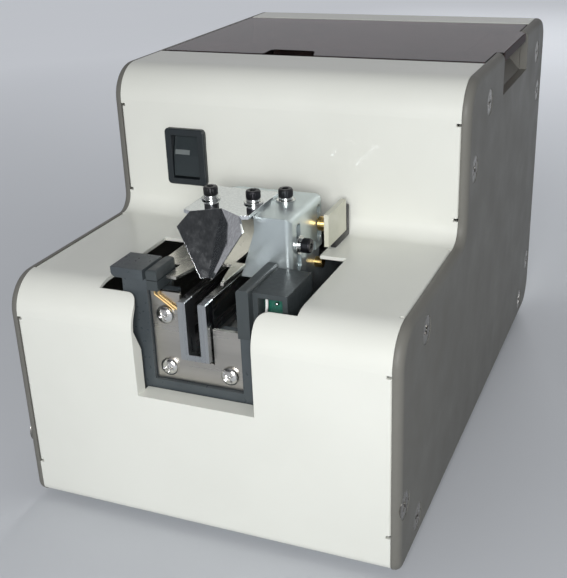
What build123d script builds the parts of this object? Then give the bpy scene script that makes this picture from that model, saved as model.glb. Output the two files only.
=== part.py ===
from build123d import *
import os
from math import acos, cos, hypot, pi, radians, sin, tan

# Automatic screw feeder: a drum lifts loose screws out of a hopper and drops them on a
# vibrating rail, which carries them hanging by their heads to a pick-up slot at the front.
# Millimetres, +Z up, front towards -Y, origin on the table under the middle of the housing.

os.makedirs("parts", exist_ok=True)

# Overall size
body_width = 130.0
body_depth = 214.0
body_height = 134.0
foot_height = 2.0

# Side outline of the housing
shelf_height = 81.5
riser_setback = 73.6
nose_radius = 12.0
riser_root_radius = 6.0
crown_radius = 12.0
back_top_radius = 9.0
back_bottom_radius = 12.0
toe_radius = 3.5

# Sheet metal, fits and cuts
panel_thickness = 2.9
panel_edge_radius = 2.4
sheet = 1.2
joint_gap = 0.1
running_gap = 0.05
seat_gap = 0.2
cut_overrun = 1.0

front_y = -body_depth / 2
back_y = body_depth / 2
riser_y = front_y + riser_setback
body_half = body_width / 2
panel_inner = body_half - panel_thickness
cover_half = panel_inner - joint_gap

# Covers
strip_end_setback = 105.5
rear_strip_depth = 22.8
cover_lift = 1.8
flange_depth = 13.0
top_flange_depth = 16.0
bend_radius = 1.0
relief_width = 1.0
relief_length = 1.5
relief_front_low = 13.6
relief_front_high = 13.3
relief_shelf_front = 12.9
relief_shelf_back = 7.9
relief_riser_low = 8.0
relief_riser_high = 13.9
relief_top_front = 14.0
strip_end_y = front_y + strip_end_setback
rear_strip_y = back_y - rear_strip_depth
cover_bottom = foot_height + cover_lift

# Window in the front cover, where the screws are picked up
window_left = -20.0
window_right = 19.7
window_bottom = 48.0
window_corner_radius = 4.0
window_turn_height = 62.0
shelf_window_left = -34.0
shelf_window_right = 32.0
shelf_window_front_run = 6.6
shelf_window_back_run = 49.0
rail_window_left = -16.0
rail_window_right = 22.9
rail_window_top_rise = 4.5
lip_side_depth = 4.6
lip_bottom_depth = 6.6
shelf_window_front = front_y + shelf_window_front_run
shelf_window_back = front_y + shelf_window_back_run
rail_window_top = shelf_height + rail_window_top_rise

# Base
base_thickness = 1.5
base_flange_height = 11.7
base_flange_setback = 5.0
foot_radius = 7.0
foot_inset_x = 14.0
foot_inset_y = 20.0
foot_chamfer = 0.5
floor = foot_height + base_thickness
base_flange_front = front_y + base_flange_setback
base_back = back_y - back_bottom_radius
base_flange_back = base_back - base_flange_setback

# Countersunk screws in the side panels
side_screw_radius = 2.0
side_hole_radius = 2.2
side_head_radius = 4.4
side_sink_radius = 4.6
side_screw_length = 7.0
side_head_recess = 0.15
edge_step = 9.3
corner_run_share = 0.5714
front_screw_step = 4.8
front_screw_rise = 22.6
shelf_screw_run = 25.3
top_screw_run = 29.1
top_screw_drop = 12.3
base_screw_rise = 8.4
base_front_run = 19.2
base_rear_run = 22.3
back_screw_step = 7.9
back_top_run = 17.0
corner_run = (body_height - shelf_height) * corner_run_share
side_screw_places = (
    (front_y + shelf_screw_run, shelf_height - edge_step),
    (riser_y + edge_step, body_height - corner_run),
    (riser_y + top_screw_run, body_height - top_screw_drop),
    (front_y + front_screw_step, foot_height + front_screw_rise),
    (front_y + base_front_run, foot_height + base_screw_rise),
    (back_y - back_screw_step, foot_height + front_screw_rise),
    (back_y - base_rear_run, foot_height + base_screw_rise),
    (back_y - back_top_run, body_height - top_screw_drop),
    (back_y - edge_step, body_height - corner_run),
)

# Lid and the finger scoop under its edge
lid_thickness = 3.0
lid_gap = 0.4
lid_corner_radius = 1.5
lid_notch_left = -23.0
lid_notch_right = -3.0
lid_notch_depth = 1.8
lid_pin_radius = 0.75
lid_pin_length = 7.0
lid_pin_seat = 2.0
scoop_front_share = 0.2334
scoop_length_share = 0.5543
scoop_drop = 15.0
scoop_slope = 1.09
scoop_flange = 8.0
tab_clearance = 0.5
tab_taper = 6.0
lid_front = strip_end_y + lid_gap
lid_low = body_height - lid_thickness
lid_half = cover_half - lid_gap
hinge_y = rear_strip_y - lid_gap - lid_thickness / 2
hinge_z = body_height - lid_thickness / 2
lid_run = rear_strip_y - strip_end_y
scoop_length = lid_run * scoop_length_share
scoop_front = strip_end_y + lid_run * scoop_front_share
scoop_back = scoop_front + scoop_length
scoop_low = body_height - scoop_drop

# Rocker switch on the riser
switch_side_run = 25.5
switch_rise_share = 0.4143
switch_x = switch_side_run - cover_half
switch_z = shelf_height + (body_height - shelf_height) * switch_rise_share
switch_width = 15.6
switch_height = 20.5
switch_face = 1.8
switch_corner_radius = 1.5
switch_edge_radius = 0.5
switch_body_width = 13.4
switch_body_height = 18.4
switch_body_depth = 15.0
rocker_width = 10.0
rocker_height = 15.0
rocker_gap = 0.2
rocker_swing_room = 0.4
rocker_tilt = 11.0
rocker_pivot_depth = 1.4
rocker_crown = 2.4
rocker_end_rise = 1.4
rocker_depth = 4.0
rocker_back_edge = 0.5
rocker_heel_share = 0.4
rocker_pin_radius = 1.0
rocker_pin_reach = 1.2
switch_cavity_depth = 8.0
terminal_pitch = 5.0
terminal_width = 4.8
terminal_thickness = 0.8
terminal_length = 6.0

# Rail and its pick-up block
rail_offset = 2.0
slot_width = 4.2
rail_width = 2.7
rail_top = 79.5
rail_height = 17.5
block_front_run = 6.0
block_length = 5.0
block_floor = 2.0
block_chamfer = 0.3
rail_end_gap = 6.9
rail_base_height = 10.0
rail_base_width = 16.0
rail_base_front_run = 18.0
rail_base_run = 5.5
rail_x = -rail_offset
rail_bottom = rail_top - rail_height
rail_base_back = strip_end_y + rail_base_run
rail_half = slot_width / 2 + rail_width
block_front = front_y + block_front_run
rail_base_front = front_y + rail_base_front_run
block_back = block_front + block_length
rail_base_bottom = rail_bottom - rail_base_height

# Leaf springs, their clamps and the vibrator
leaf_thickness = 0.5
leaf_width = 14.0
leaf_top_inset = 2.0
clamp_thickness = 1.5
clamp_height = 5.0
clamp_screw_step = 4.0
clamp_screw_radius = 2.0
spring_block_length = 10.0
spring_block_height = 13.5
vibrator_radius = 6.0
vibrator_length = 18.0
vibrator_run = 3.4
vibrator_drop = 6.5
vibrator_shaft_radius = 1.0
vibrator_shaft_length = 10.0
vibrator_bore_depth = 8.0
clamp_ring_wall = 1.5
clamp_ring_width = 7.0
weight_radius = 5.2
weight_hub_radius = 2.2
weight_thickness = 5.0
weight_offset = 2.0
vibrator_y = riser_y + vibrator_run

# Dark frame round the pick-up block, and its steel plate
frame_left = -26.0
frame_right = 20.0
frame_pocket_left = -17.5
frame_pocket_right = 13.0
frame_bottom = 43.5
frame_sill = 50.8
frame_front_run = 7.4
frame_back_run = 13.0
frame_right_top = 70.0
frame_left_top = 84.7
frame_web = 3.1
frame_rail_room = 2.2
plate_thickness = 1.2
plate_gap = 0.3
plate_left_top = 81.0
plate_right_top = 70.5
plate_notch_gap = 0.45
plate_notch_drop = 1.5
plate_screw_step = 10.4
plate_screw_low = 55.6
plate_screw_high = 73.4
plate_screw_places = (
    (rail_x - plate_screw_step, plate_screw_low),
    (rail_x + plate_screw_step, plate_screw_low),
    (rail_x - plate_screw_step, plate_screw_high),
)
head_left = -29.2
head_right = -18.1
head_front_run = 6.4
head_back_run = 18.7
head_height = 3.3
head_radius = 1.6
frame_front = front_y + frame_front_run
frame_back = front_y + frame_back_run
head_front = front_y + head_front_run
head_back = front_y + head_back_run

# Light gate beside the pick-up block
emitter_width = 3.8
emitter_front_run = 7.0
emitter_back_run = 20.0
emitter_height = 3.2
emitter_step = 3.4
emitter_edge_radius = 0.8
lead_radius = 0.35
lead_pitch = 1.5
lead_run = 6.5
lead_fall = 4.4
receiver_left = 13.0
receiver_right = 28.0
receiver_front_run = 9.0
receiver_back_run = 28.4
receiver_bottom = frame_right_top + seat_gap
receiver_top = 84.5
receiver_ridge_width = 4.0
receiver_ridge_front_run = 6.0
receiver_ridge_rise = 1.5
ridge_round_share = 0.7
receiver_pocket_margin = 1.6
receiver_pocket_depth = 6.0
gate_board_thickness = 1.6
emitter_front = front_y + emitter_front_run
emitter_back = front_y + emitter_back_run
receiver_front = front_y + receiver_front_run
receiver_back = front_y + receiver_back_run
receiver_ridge_front = front_y + receiver_ridge_front_run

# Inner frames beside the rail
inner_sheet = 1.5
inner_drop = 3.5
inner_back = rail_base_back
inner_height = rail_top - inner_drop
inner_foot_width = 10.0
inner_front_top = 69.0
inner_tab_front_run = 30.6
inner_tab_back_run = 56.0
inner_tab_top = 96.0
inner_tab_front = front_y + inner_tab_front_run
inner_tab_back = front_y + inner_tab_back_run

# Polished cover over the rail
rail_cover_bottom = 84.0
rail_cover_thickness = 1.0
rail_cover_left = -20.0
rail_cover_left_front_run = 20.5
rail_cover_tongue_left = -12.7
rail_cover_flange_inset = 6.0
rail_cover_flange_back_run = 47.5
rail_cover_front_run = 11.5
rail_cover_back_run = 66.0
rail_cover_notch_half = 7.5
rail_cover_notch_root_half = 4.6
rail_cover_notch_back_run = 25.5
rail_cover_right = 6.5
rail_cover_step_run = 27.5
rail_cover_rail_right = 3.0
rail_cover_flange_drop = 18.0
rail_cover_left_front = front_y + rail_cover_left_front_run
rail_cover_flange_back = front_y + rail_cover_flange_back_run
rail_cover_front = front_y + rail_cover_front_run
rail_cover_back = front_y + rail_cover_back_run
rail_cover_notch_back = front_y + rail_cover_notch_back_run
rail_cover_step = front_y + rail_cover_step_run

# Plated bracket that carries the bit guide
bracket_sheet = 1.2
bracket_front_run = 29.0
bracket_back_run = 55.5
bracket_top = 100.2
bracket_outer_x = 21.2
bracket_face_left = 9.2
bracket_face_shoulder = 95.5
bracket_face_foot_left = 4.0
bracket_face_bottom = 79.9
bracket_arm_left = -13.0
bracket_arm_front_run = 33.0
bracket_arm_chamfer = 5.0
bracket_bend_radius = 2.0
cheek_bottom = 76.0
cheek_notch_front_run = 41.0
cheek_notch_back_run = 49.5
cheek_notch_top = 86.0
cheek_rear_bottom = 83.0
cheek_slot_width = 3.4
cheek_slot_run = 35.5
cheek_slot_low = 81.5
cheek_slot_high = 97.0
spacer_slot_run = 53.0
spacer_slot_low = 85.0
spacer_slot_high = 97.4
bracket_front = front_y + bracket_front_run
bracket_back = front_y + bracket_back_run
bracket_arm_front = front_y + bracket_arm_front_run
cheek_notch_front = front_y + cheek_notch_front_run
cheek_notch_back = front_y + cheek_notch_back_run
cheek_slot_y = front_y + cheek_slot_run
spacer_slot_y = front_y + spacer_slot_run

# Bit guide: a polished V trough under a slotted plate
guide_sheet = 1.2
guide_wall = 1.3
guide_half = 11.0
guide_back_run = 50.0
guide_crease_top_run = 30.0
guide_crease_tip_run = 18.0
guide_tip_rise = 3.5
guide_spread_tip = 2.0
guide_rake = 0.62
guide_corner_drop = 3.9
guide_corner_cut = 2.7
guide_slot_step = 7.4
guide_slot_run = 37.8
guide_slot_width = 3.4
guide_slot_travel = 5.0
guide_tip_z = rail_top + guide_tip_rise
guide_back = front_y + guide_back_run
guide_crease_top_y = front_y + guide_crease_top_run
guide_crease_tip_y = front_y + guide_crease_tip_run
guide_slot_y = front_y + guide_slot_run

# Cap screws, pan head screws and washers
cap_head_radius = 2.75
cap_head_height = 3.0
cap_shank_radius = 1.5
socket_radius = 1.3
socket_depth = 1.6
cap_rim_share = 0.08
washer_radius = 3.6
washer_thickness = 0.5
lock_washer_radius = 2.7
lock_washer_thickness = 0.9
guide_screw_length = 6.0
bracket_screw_inset = 8.3
bracket_screw_x = bracket_outer_x - bracket_screw_inset
bracket_screw_run = 46.0
cheek_screw_drop = 10.2
cheek_screw_z = bracket_top - cheek_screw_drop
cheek_screw_length = 5.0
pan_head_radius = 3.0
pan_head_height = 2.0
pan_shank_length = 5.0
pan_rim_height = 0.9
pan_crown_radius = 1.7
cross_width = 0.9
cross_depth = 1.1
bracket_screw_y = front_y + bracket_screw_run

# White board on brass spacers beside the bracket
side_board_thickness = 1.6
side_board_front_run = 50.5
side_board_back_run = 67.5
side_board_bottom = 84.0
side_board_top = 95.0
spacer_y = spacer_slot_y
spacer_high_drop = 9.2
spacer_low_drop = 22.7
spacer_high_z = bracket_top - spacer_high_drop
spacer_low_z = bracket_top - spacer_low_drop
spacer_shank_radius = 1.5
spacer_head_radius = 2.4
spacer_length = 2.4
spacer_cheek_gap = 0.3
spacer_low_radius = 1.8
spacer_low_length = 2.5
side_board_front = front_y + side_board_front_run
side_board_back = front_y + side_board_back_run

# Brush that sweeps badly seated screws off the rail; its heights are shares of the room over it
bridge_run = 15.4
bridge_thickness = 3.0
bridge_top_share = 0.6
bridge_arch_share = 0.32
bridge_foot_drop = 2.0
bridge_corner = 4.0
bridge_arch_half = 14.0
brush_pivot_share = 0.45
brush_arm_share = 0.11
brush_holder_share = 0.18
tuft_share = 0.165
brush_pin_radius = 2.0
brush_pin_length = 8.0
brush_hub_radius = 4.5
brush_gap = 0.4
brush_pin_head_radius = 3.4
brush_pin_head = 1.2
brush_arm_half = 4.0
brush_holder_half = 6.0
tuft_radius = 0.9
tuft_sides = 8
tuft_pitch = 2.6
tuft_columns = 4
tuft_rows = 2
brush_room = body_height - rail_top
bridge_y = riser_y + bridge_run
bridge_low = rail_bottom - bridge_foot_drop
bridge_top = rail_top + brush_room * bridge_top_share
bridge_arch_top = rail_top + brush_room * bridge_arch_share
brush_pivot_z = rail_top + brush_room * brush_pivot_share
brush_arm_length = brush_room * brush_arm_share
brush_holder_drop = brush_room * brush_holder_share
tuft_length = brush_room * tuft_share

# Hopper
feed_room = back_y - strip_end_y
tub_depth_share = 0.3309
tub_foot_share = 0.46
tub_bottom_share = 0.833
tub_wall = 1.2
tub_top_drop = 6.0
tub_left_room = 10.0
tub_right_room = 11.0
tub_front_gap = 3.0
tub_rim = 1.5
tub_lip = 5.0
tub_rail_half = 8.0
tub_rail_gap = 2.0
tub_rail_rise = 12.5
tub_depth = feed_room * tub_depth_share
tub_top = body_height - tub_top_drop
tub_top_left = tub_left_room - cover_half
tub_top_right = cover_half - tub_right_room
tub_top_front = strip_end_y + tub_front_gap
tub_bottom_front = strip_end_y + tub_depth * tub_foot_share
tub_back = strip_end_y + tub_depth
tub_rail_low = rail_bottom - tub_rail_gap
tub_rail_high = rail_top + tub_rail_rise

# Gears: their module fills the height between the motor over the floor and the hood
gear_teeth = 60
pinion_teeth = 12
pressure_angle = 20.0
gear_backlash = 0.3
addendum_share = 0.75
dedendum_share = 1.05
merge_share = 0.01
gear_width = 7.0
gear_back_step = 3.0
pinion_extra = 0.5
gear_phase = 90.0
pinion_phase = -90.0 + 180.0 / pinion_teeth
gearbox_radius = 12.0
motor_floor_gap = 8.1
hood_drop = 11.8
hood_gear_gap = 3.95
hood_top = body_height - hood_drop
motor_z = floor + motor_floor_gap + gearbox_radius
gear_top = hood_top - sheet - hood_gear_gap
gear_module = (gear_top - motor_z) / (gear_teeth + pinion_teeth / 2 + addendum_share)
gear_pitch_radius = gear_module * gear_teeth / 2
pinion_pitch_radius = gear_module * pinion_teeth / 2
drum_z = motor_z + gear_pitch_radius + pinion_pitch_radius

# Scooping drum
drum_depth_share = 0.3502
drum_gear_step = 6.0
drum_wall = 2.0
drum_disc = 2.0
drum_gap = 0.5
drum_hub_radius = 8.0
drum_hub_length = 5.0
blade_count = 8
blade_depth_share = 0.2
blade_thickness = 1.6
blade_front_step = 6.0
blade_lean = 25.0
shaft_radius = 4.0
shaft_stub = 2.0
shaft_tail = 13.0
drum_radius = gear_pitch_radius - drum_gear_step
drum_depth = feed_room * drum_depth_share
drum_front = tub_back + drum_gap
drum_back = drum_front + drum_depth
blade_depth = drum_radius * blade_depth_share
blade_length = drum_depth - drum_disc - blade_front_step
gear_front = drum_back - gear_back_step - gear_width
rail_back = drum_back - drum_disc - rail_end_gap
tub_hole_radius = drum_radius - drum_wall - tub_rim
tub_bottom = drum_z - tub_hole_radius - tub_rim
tub_bottom_left = rail_x - drum_radius * tub_bottom_share
tub_bottom_right = rail_x + drum_radius * tub_bottom_share

# Gear motor; its lengths are shares of the room between its plate and the rear spring clamps
gearbox_share = 0.425
motor_share = 0.53
motor_clamp_gap = 3.0
motor_radius = 10.5
motor_cap_radius = 5.0
motor_cap_length = 2.0
motor_boss_radius = 5.0
motor_boss_length = 3.0
motor_shaft_radius = 3.0
motor_shaft_seat = 8.0
motor_plate_gap = 3.0
motor_plate = 2.0
motor_plate_half = 16.0
motor_drum_gap = 1.5
motor_foot = 15.0
motor_front_face = gear_front - pinion_extra - motor_plate_gap - motor_plate
motor_rear_stop = rail_base_back + leaf_thickness + 2 * clamp_thickness + motor_clamp_gap
gearbox_length = (motor_front_face - motor_rear_stop) * gearbox_share
motor_length = (motor_front_face - motor_rear_stop) * motor_share
motor_plate_height = drum_z - drum_radius - motor_drum_gap - floor

# Rear bearing stand and the hood
stand_thickness = 3.0
stand_gap = 3.0
stand_foot_half = 34.0
stand_top_half = 22.0
stand_foot = 12.0
stand_top_flange = 10.0
stand_top_sheet = 1.5
bush_radius = 6.5
bush_flange_radius = 8.5
bush_flange = 1.0
bush_length = 7.0
clip_radius = 6.0
clip_thickness = 0.8
clip_gap = 0.3
clip_mouth = 5.0
clip_mouth_share = 0.6
hood_side_gap = 10.0
hood_flange = 7.0
stand_front = drum_back + drum_hub_length + bush_flange + stand_gap
hood_right = cover_half - hood_side_gap

# Control board and the power inlet
board_wall_gap = 4.0
board_frame_gap = 10.5
board_front_run = 35.0
board_back_run = 6.5
board_thickness = 1.6
board_height = 6.5
standoff_radius = 2.5
standoff_inset = 4.0
capacitor_radius = 4.0
capacitor_height = 11.0
capacitor_pitch = 10.0
chip_size = 9.0
chip_height = 2.2
plug_length = 14.0
plug_width = 6.0
plug_height = 7.0
inlet_side_run = 22.0
inlet_rise = 16.5
inlet_radius = 4.5
inlet_bore_radius = 2.9
inlet_bore_depth = 9.0
inlet_pin_radius = 1.0
inlet_pin_recess = 1.0
inlet_length = 13.0
inlet_nut_radius = 6.5
inlet_nut_thickness = 2.5
inlet_recess = 0.3
board_left = board_wall_gap - cover_half
board_right = rail_cover_left - inner_sheet - board_frame_gap
board_front = front_y + board_front_run
board_back = strip_end_y - board_back_run
inlet_x = inlet_side_run - cover_half
inlet_z = floor + inlet_rise


def across(x):
    """Plane facing +X through x, with (y, z) as its own axes."""
    return Plane.YZ.offset(x)


def facing(y):
    """Plane facing -Y through y, with (x, z) as its own axes."""
    return Plane.XZ.offset(-y)


def level(z):
    """Plane facing +Z through z, with (x, y) as its own axes."""
    return Plane.XY.offset(z)


def span(a0, a1, b0, b1):
    """Rectangle between two places along each axis of a sketch."""
    with BuildSketch() as area:
        with Locations(((a0 + a1) / 2, (b0 + b1) / 2)):
            Rectangle(a1 - a0, b1 - b0)
    return area.sketch


def outline(*points):
    """Closed straight-sided area through the points."""
    with BuildSketch() as area:
        with BuildLine():
            Polyline(*points, close=True)
        make_face()
    return area.sketch


def slot_area(a, b0, b1, width):
    """Upright round-ended slot from b0 to b1 along the second axis."""
    with BuildSketch() as area:
        with Locations((a, (b0 + b1) / 2)):
            SlotOverall(b1 - b0, width, rotation=90)
    return area.sketch


def housing_outline(inset):
    """Side outline of the housing in (y, z), moved inwards by inset."""
    front = front_y + inset
    back = back_y - inset
    low = foot_height + inset
    shelf = shelf_height - inset
    riser = riser_y + inset
    top = body_height - inset
    corners = (
        ((front, low), toe_radius - inset),
        ((back, low), back_bottom_radius - inset),
        ((back, top), back_top_radius - inset),
        ((riser, top), crown_radius - inset),
        ((riser, shelf), riser_root_radius + inset),
        ((front, shelf), nose_radius - inset),
    )
    with BuildSketch() as shape:
        with BuildLine():
            Polyline(*[place for place, radius in corners], close=True)
        make_face()
        for place, radius in corners:
            fillet(shape.vertices().sort_by_distance(Vector(*place))[0], radius)
    return shape.sketch


def cap_screw(length):
    """Socket head cap screw along Z, its head seated on z = 0."""
    with BuildPart() as screw:
        Cylinder(cap_head_radius, cap_head_height, align=(Align.CENTER, Align.CENTER, Align.MIN))
        Cylinder(cap_shank_radius, length, align=(Align.CENTER, Align.CENTER, Align.MAX))
        chamfer(screw.edges().group_by(Axis.Z)[-1], cap_head_radius * cap_rim_share)
        with BuildSketch(Plane.XY.offset(cap_head_height)):
            RegularPolygon(socket_radius, 6)
        extrude(amount=-socket_depth, mode=Mode.SUBTRACT)
    return screw.part


def ring(outer, inner, thickness):
    """Flat ring along Z, standing on z = 0."""
    with BuildPart() as washer:
        with BuildSketch():
            Circle(outer)
            Circle(inner, mode=Mode.SUBTRACT)
        extrude(amount=thickness)
    return washer.part


def pan_screw(length):
    """Cross-recessed pan head screw along Z, its head seated on z = 0."""
    with BuildPart() as screw:
        with BuildSketch(Plane.XZ):
            with BuildLine():
                Polyline(
                    (0, 0),
                    (pan_head_radius, 0),
                    (pan_head_radius, pan_rim_height),
                    (pan_crown_radius, pan_head_height),
                    (0, pan_head_height),
                    close=True,
                )
            make_face()
        revolve(axis=Axis.Z)
        Cylinder(cap_shank_radius, length, align=(Align.CENTER, Align.CENTER, Align.MAX))
        with BuildSketch(Plane.XY.offset(pan_head_height)):
            Rectangle(2 * pan_crown_radius, cross_width)
            Rectangle(cross_width, 2 * pan_crown_radius)
        extrude(amount=-cross_depth, mode=Mode.SUBTRACT)
    return screw.part


def flat_screw():
    """Countersunk screw along Z, its flat head facing +Z at z = 0."""
    head_height = side_head_radius - side_screw_radius
    with BuildPart() as screw:
        with BuildSketch(Plane.XZ):
            with BuildLine():
                Polyline(
                    (0, 0),
                    (side_head_radius, 0),
                    (side_screw_radius, -head_height),
                    (side_screw_radius, -side_screw_length),
                    (0, -side_screw_length),
                    close=True,
                )
            make_face()
        revolve(axis=Axis.Z)
    return screw.part


def gear_outline(teeth, phase):
    """Involute spur gear outline, with the middle of a tooth at the angle phase."""
    pitch = gear_module * teeth / 2
    base = pitch * cos(radians(pressure_angle))
    tip = pitch + gear_module * addendum_share
    root = pitch - gear_module * dedendum_share
    involute = tan(radians(pressure_angle)) - radians(pressure_angle)
    half_at_pitch = pi / (2 * teeth) - gear_backlash / (4 * pitch)

    def half_angle(radius):
        roll = acos(min(base / radius, 1))
        return half_at_pitch + involute - (tan(roll) - roll)

    radii = (root, max(base, root), pitch, tip)
    flank = [(radius, half_angle(radius)) for radius in radii]
    points = []
    for tooth in range(teeth):
        middle = radians(phase) + 2 * pi * tooth / teeth
        for radius, half in flank:
            points.append((radius * cos(middle - half), radius * sin(middle - half)))
        for radius, half in reversed(flank):
            points.append((radius * cos(middle + half), radius * sin(middle + half)))
    clean = [points[0]]
    for place in points[1:]:
        if hypot(place[0] - clean[-1][0], place[1] - clean[-1][1]) > gear_module * merge_share:
            clean.append(place)
    return outline(*clean)


# Side panels: thick plates with rounded outer edges; the right one has the finger recess
def side_panel():
    """Panel plate on the +X side with its countersunk holes."""
    with BuildPart() as panel:
        with BuildSketch(across(panel_inner)):
            add(housing_outline(0))
        extrude(amount=panel_thickness)
        fillet(panel.faces().sort_by(Axis.X)[-1].edges(), panel_edge_radius)
        for y, z in side_screw_places:
            with Locations(Plane(origin=(body_half, y, z), x_dir=(0, 1, 0), z_dir=(1, 0, 0))):
                CounterSinkHole(side_hole_radius, side_sink_radius, counter_sink_angle=90)
        with Locations(Plane(origin=(panel_inner, hinge_y, hinge_z), x_dir=(0, 1, 0), z_dir=(-1, 0, 0))):
            Hole(lid_pin_radius, lid_pin_seat)
    return panel.part


plain_panel = side_panel()

with BuildPart() as side_panel_left:
    add(mirror(plain_panel, about=Plane.YZ, mode=Mode.PRIVATE))
side_panel_left.part.label = "side_panel_left"
export_step(side_panel_left.part, "parts/side_panel_left.step")

with BuildPart() as side_panel_right:
    add(plain_panel)
    with BuildSketch(across(panel_inner)):
        add(span(scoop_front, scoop_back, scoop_low, body_height + cut_overrun))
    extrude(amount=panel_thickness, mode=Mode.SUBTRACT)
side_panel_right.part.label = "side_panel_right"
export_step(side_panel_right.part, "parts/side_panel_right.step")

flat = flat_screw()

with BuildPart() as side_screws:
    for side in (-1, 1):
        seats = [
            Plane(
                origin=(side * (body_half - side_head_recess), y, z),
                x_dir=(0, 1, 0),
                z_dir=(side, 0, 0),
            )
            for y, z in side_screw_places
        ]
        with Locations(*seats):
            add(flat)
side_screws.part.label = "side_screws"
export_step(side_screws.part, "parts/side_screws.step")

# Base plate with up-turned side flanges, and its feet
with BuildPart() as base_plate:
    with BuildSketch(level(foot_height)):
        add(span(-cover_half, cover_half, front_y + toe_radius, base_back))
    extrude(amount=base_thickness)
    with BuildSketch(level(foot_height)):
        for low in (-cover_half, cover_half - base_thickness):
            add(span(low, low + base_thickness, base_flange_front, base_flange_back))
    extrude(amount=base_flange_height)
    with BuildSketch(across(-cover_half)):
        for y, z in side_screw_places:
            if z < foot_height + base_flange_height:
                with Locations((y, z)):
                    Circle(side_screw_radius)
    extrude(amount=2 * cover_half, mode=Mode.SUBTRACT)
base_plate.part.label = "base_plate"
export_step(base_plate.part, "parts/base_plate.step")

with BuildPart() as rubber_feet:
    with BuildSketch():
        with GridLocations(2 * (body_half - foot_inset_x), 2 * (back_y - foot_inset_y), 2, 2):
            Circle(foot_radius)
    extrude(amount=foot_height)
    chamfer(rubber_feet.edges().group_by(Axis.Z)[0], foot_chamfer)
rubber_feet.part.label = "rubber_feet"
export_step(rubber_feet.part, "parts/rubber_feet.step")

# Front cover: one bent sheet, with side flanges between its bend reliefs
front_stretch = (foot_height + relief_front_low, shelf_height - relief_front_high)
shelf_stretch = (front_y + relief_shelf_front, riser_y - relief_shelf_back)
riser_stretch = (shelf_height + relief_riser_low, body_height - relief_riser_high)
top_stretch = (riser_y + relief_top_front, strip_end_y)


def bend_edges(face, along):
    """The longest edge on each side of a face, where the side flanges are bent."""
    rows = face.edges().filter_by(along).group_by(Axis.X)
    return [rows[0].sort_by(SortBy.LENGTH)[-1], rows[-1].sort_by(SortBy.LENGTH)[-1]]


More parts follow.
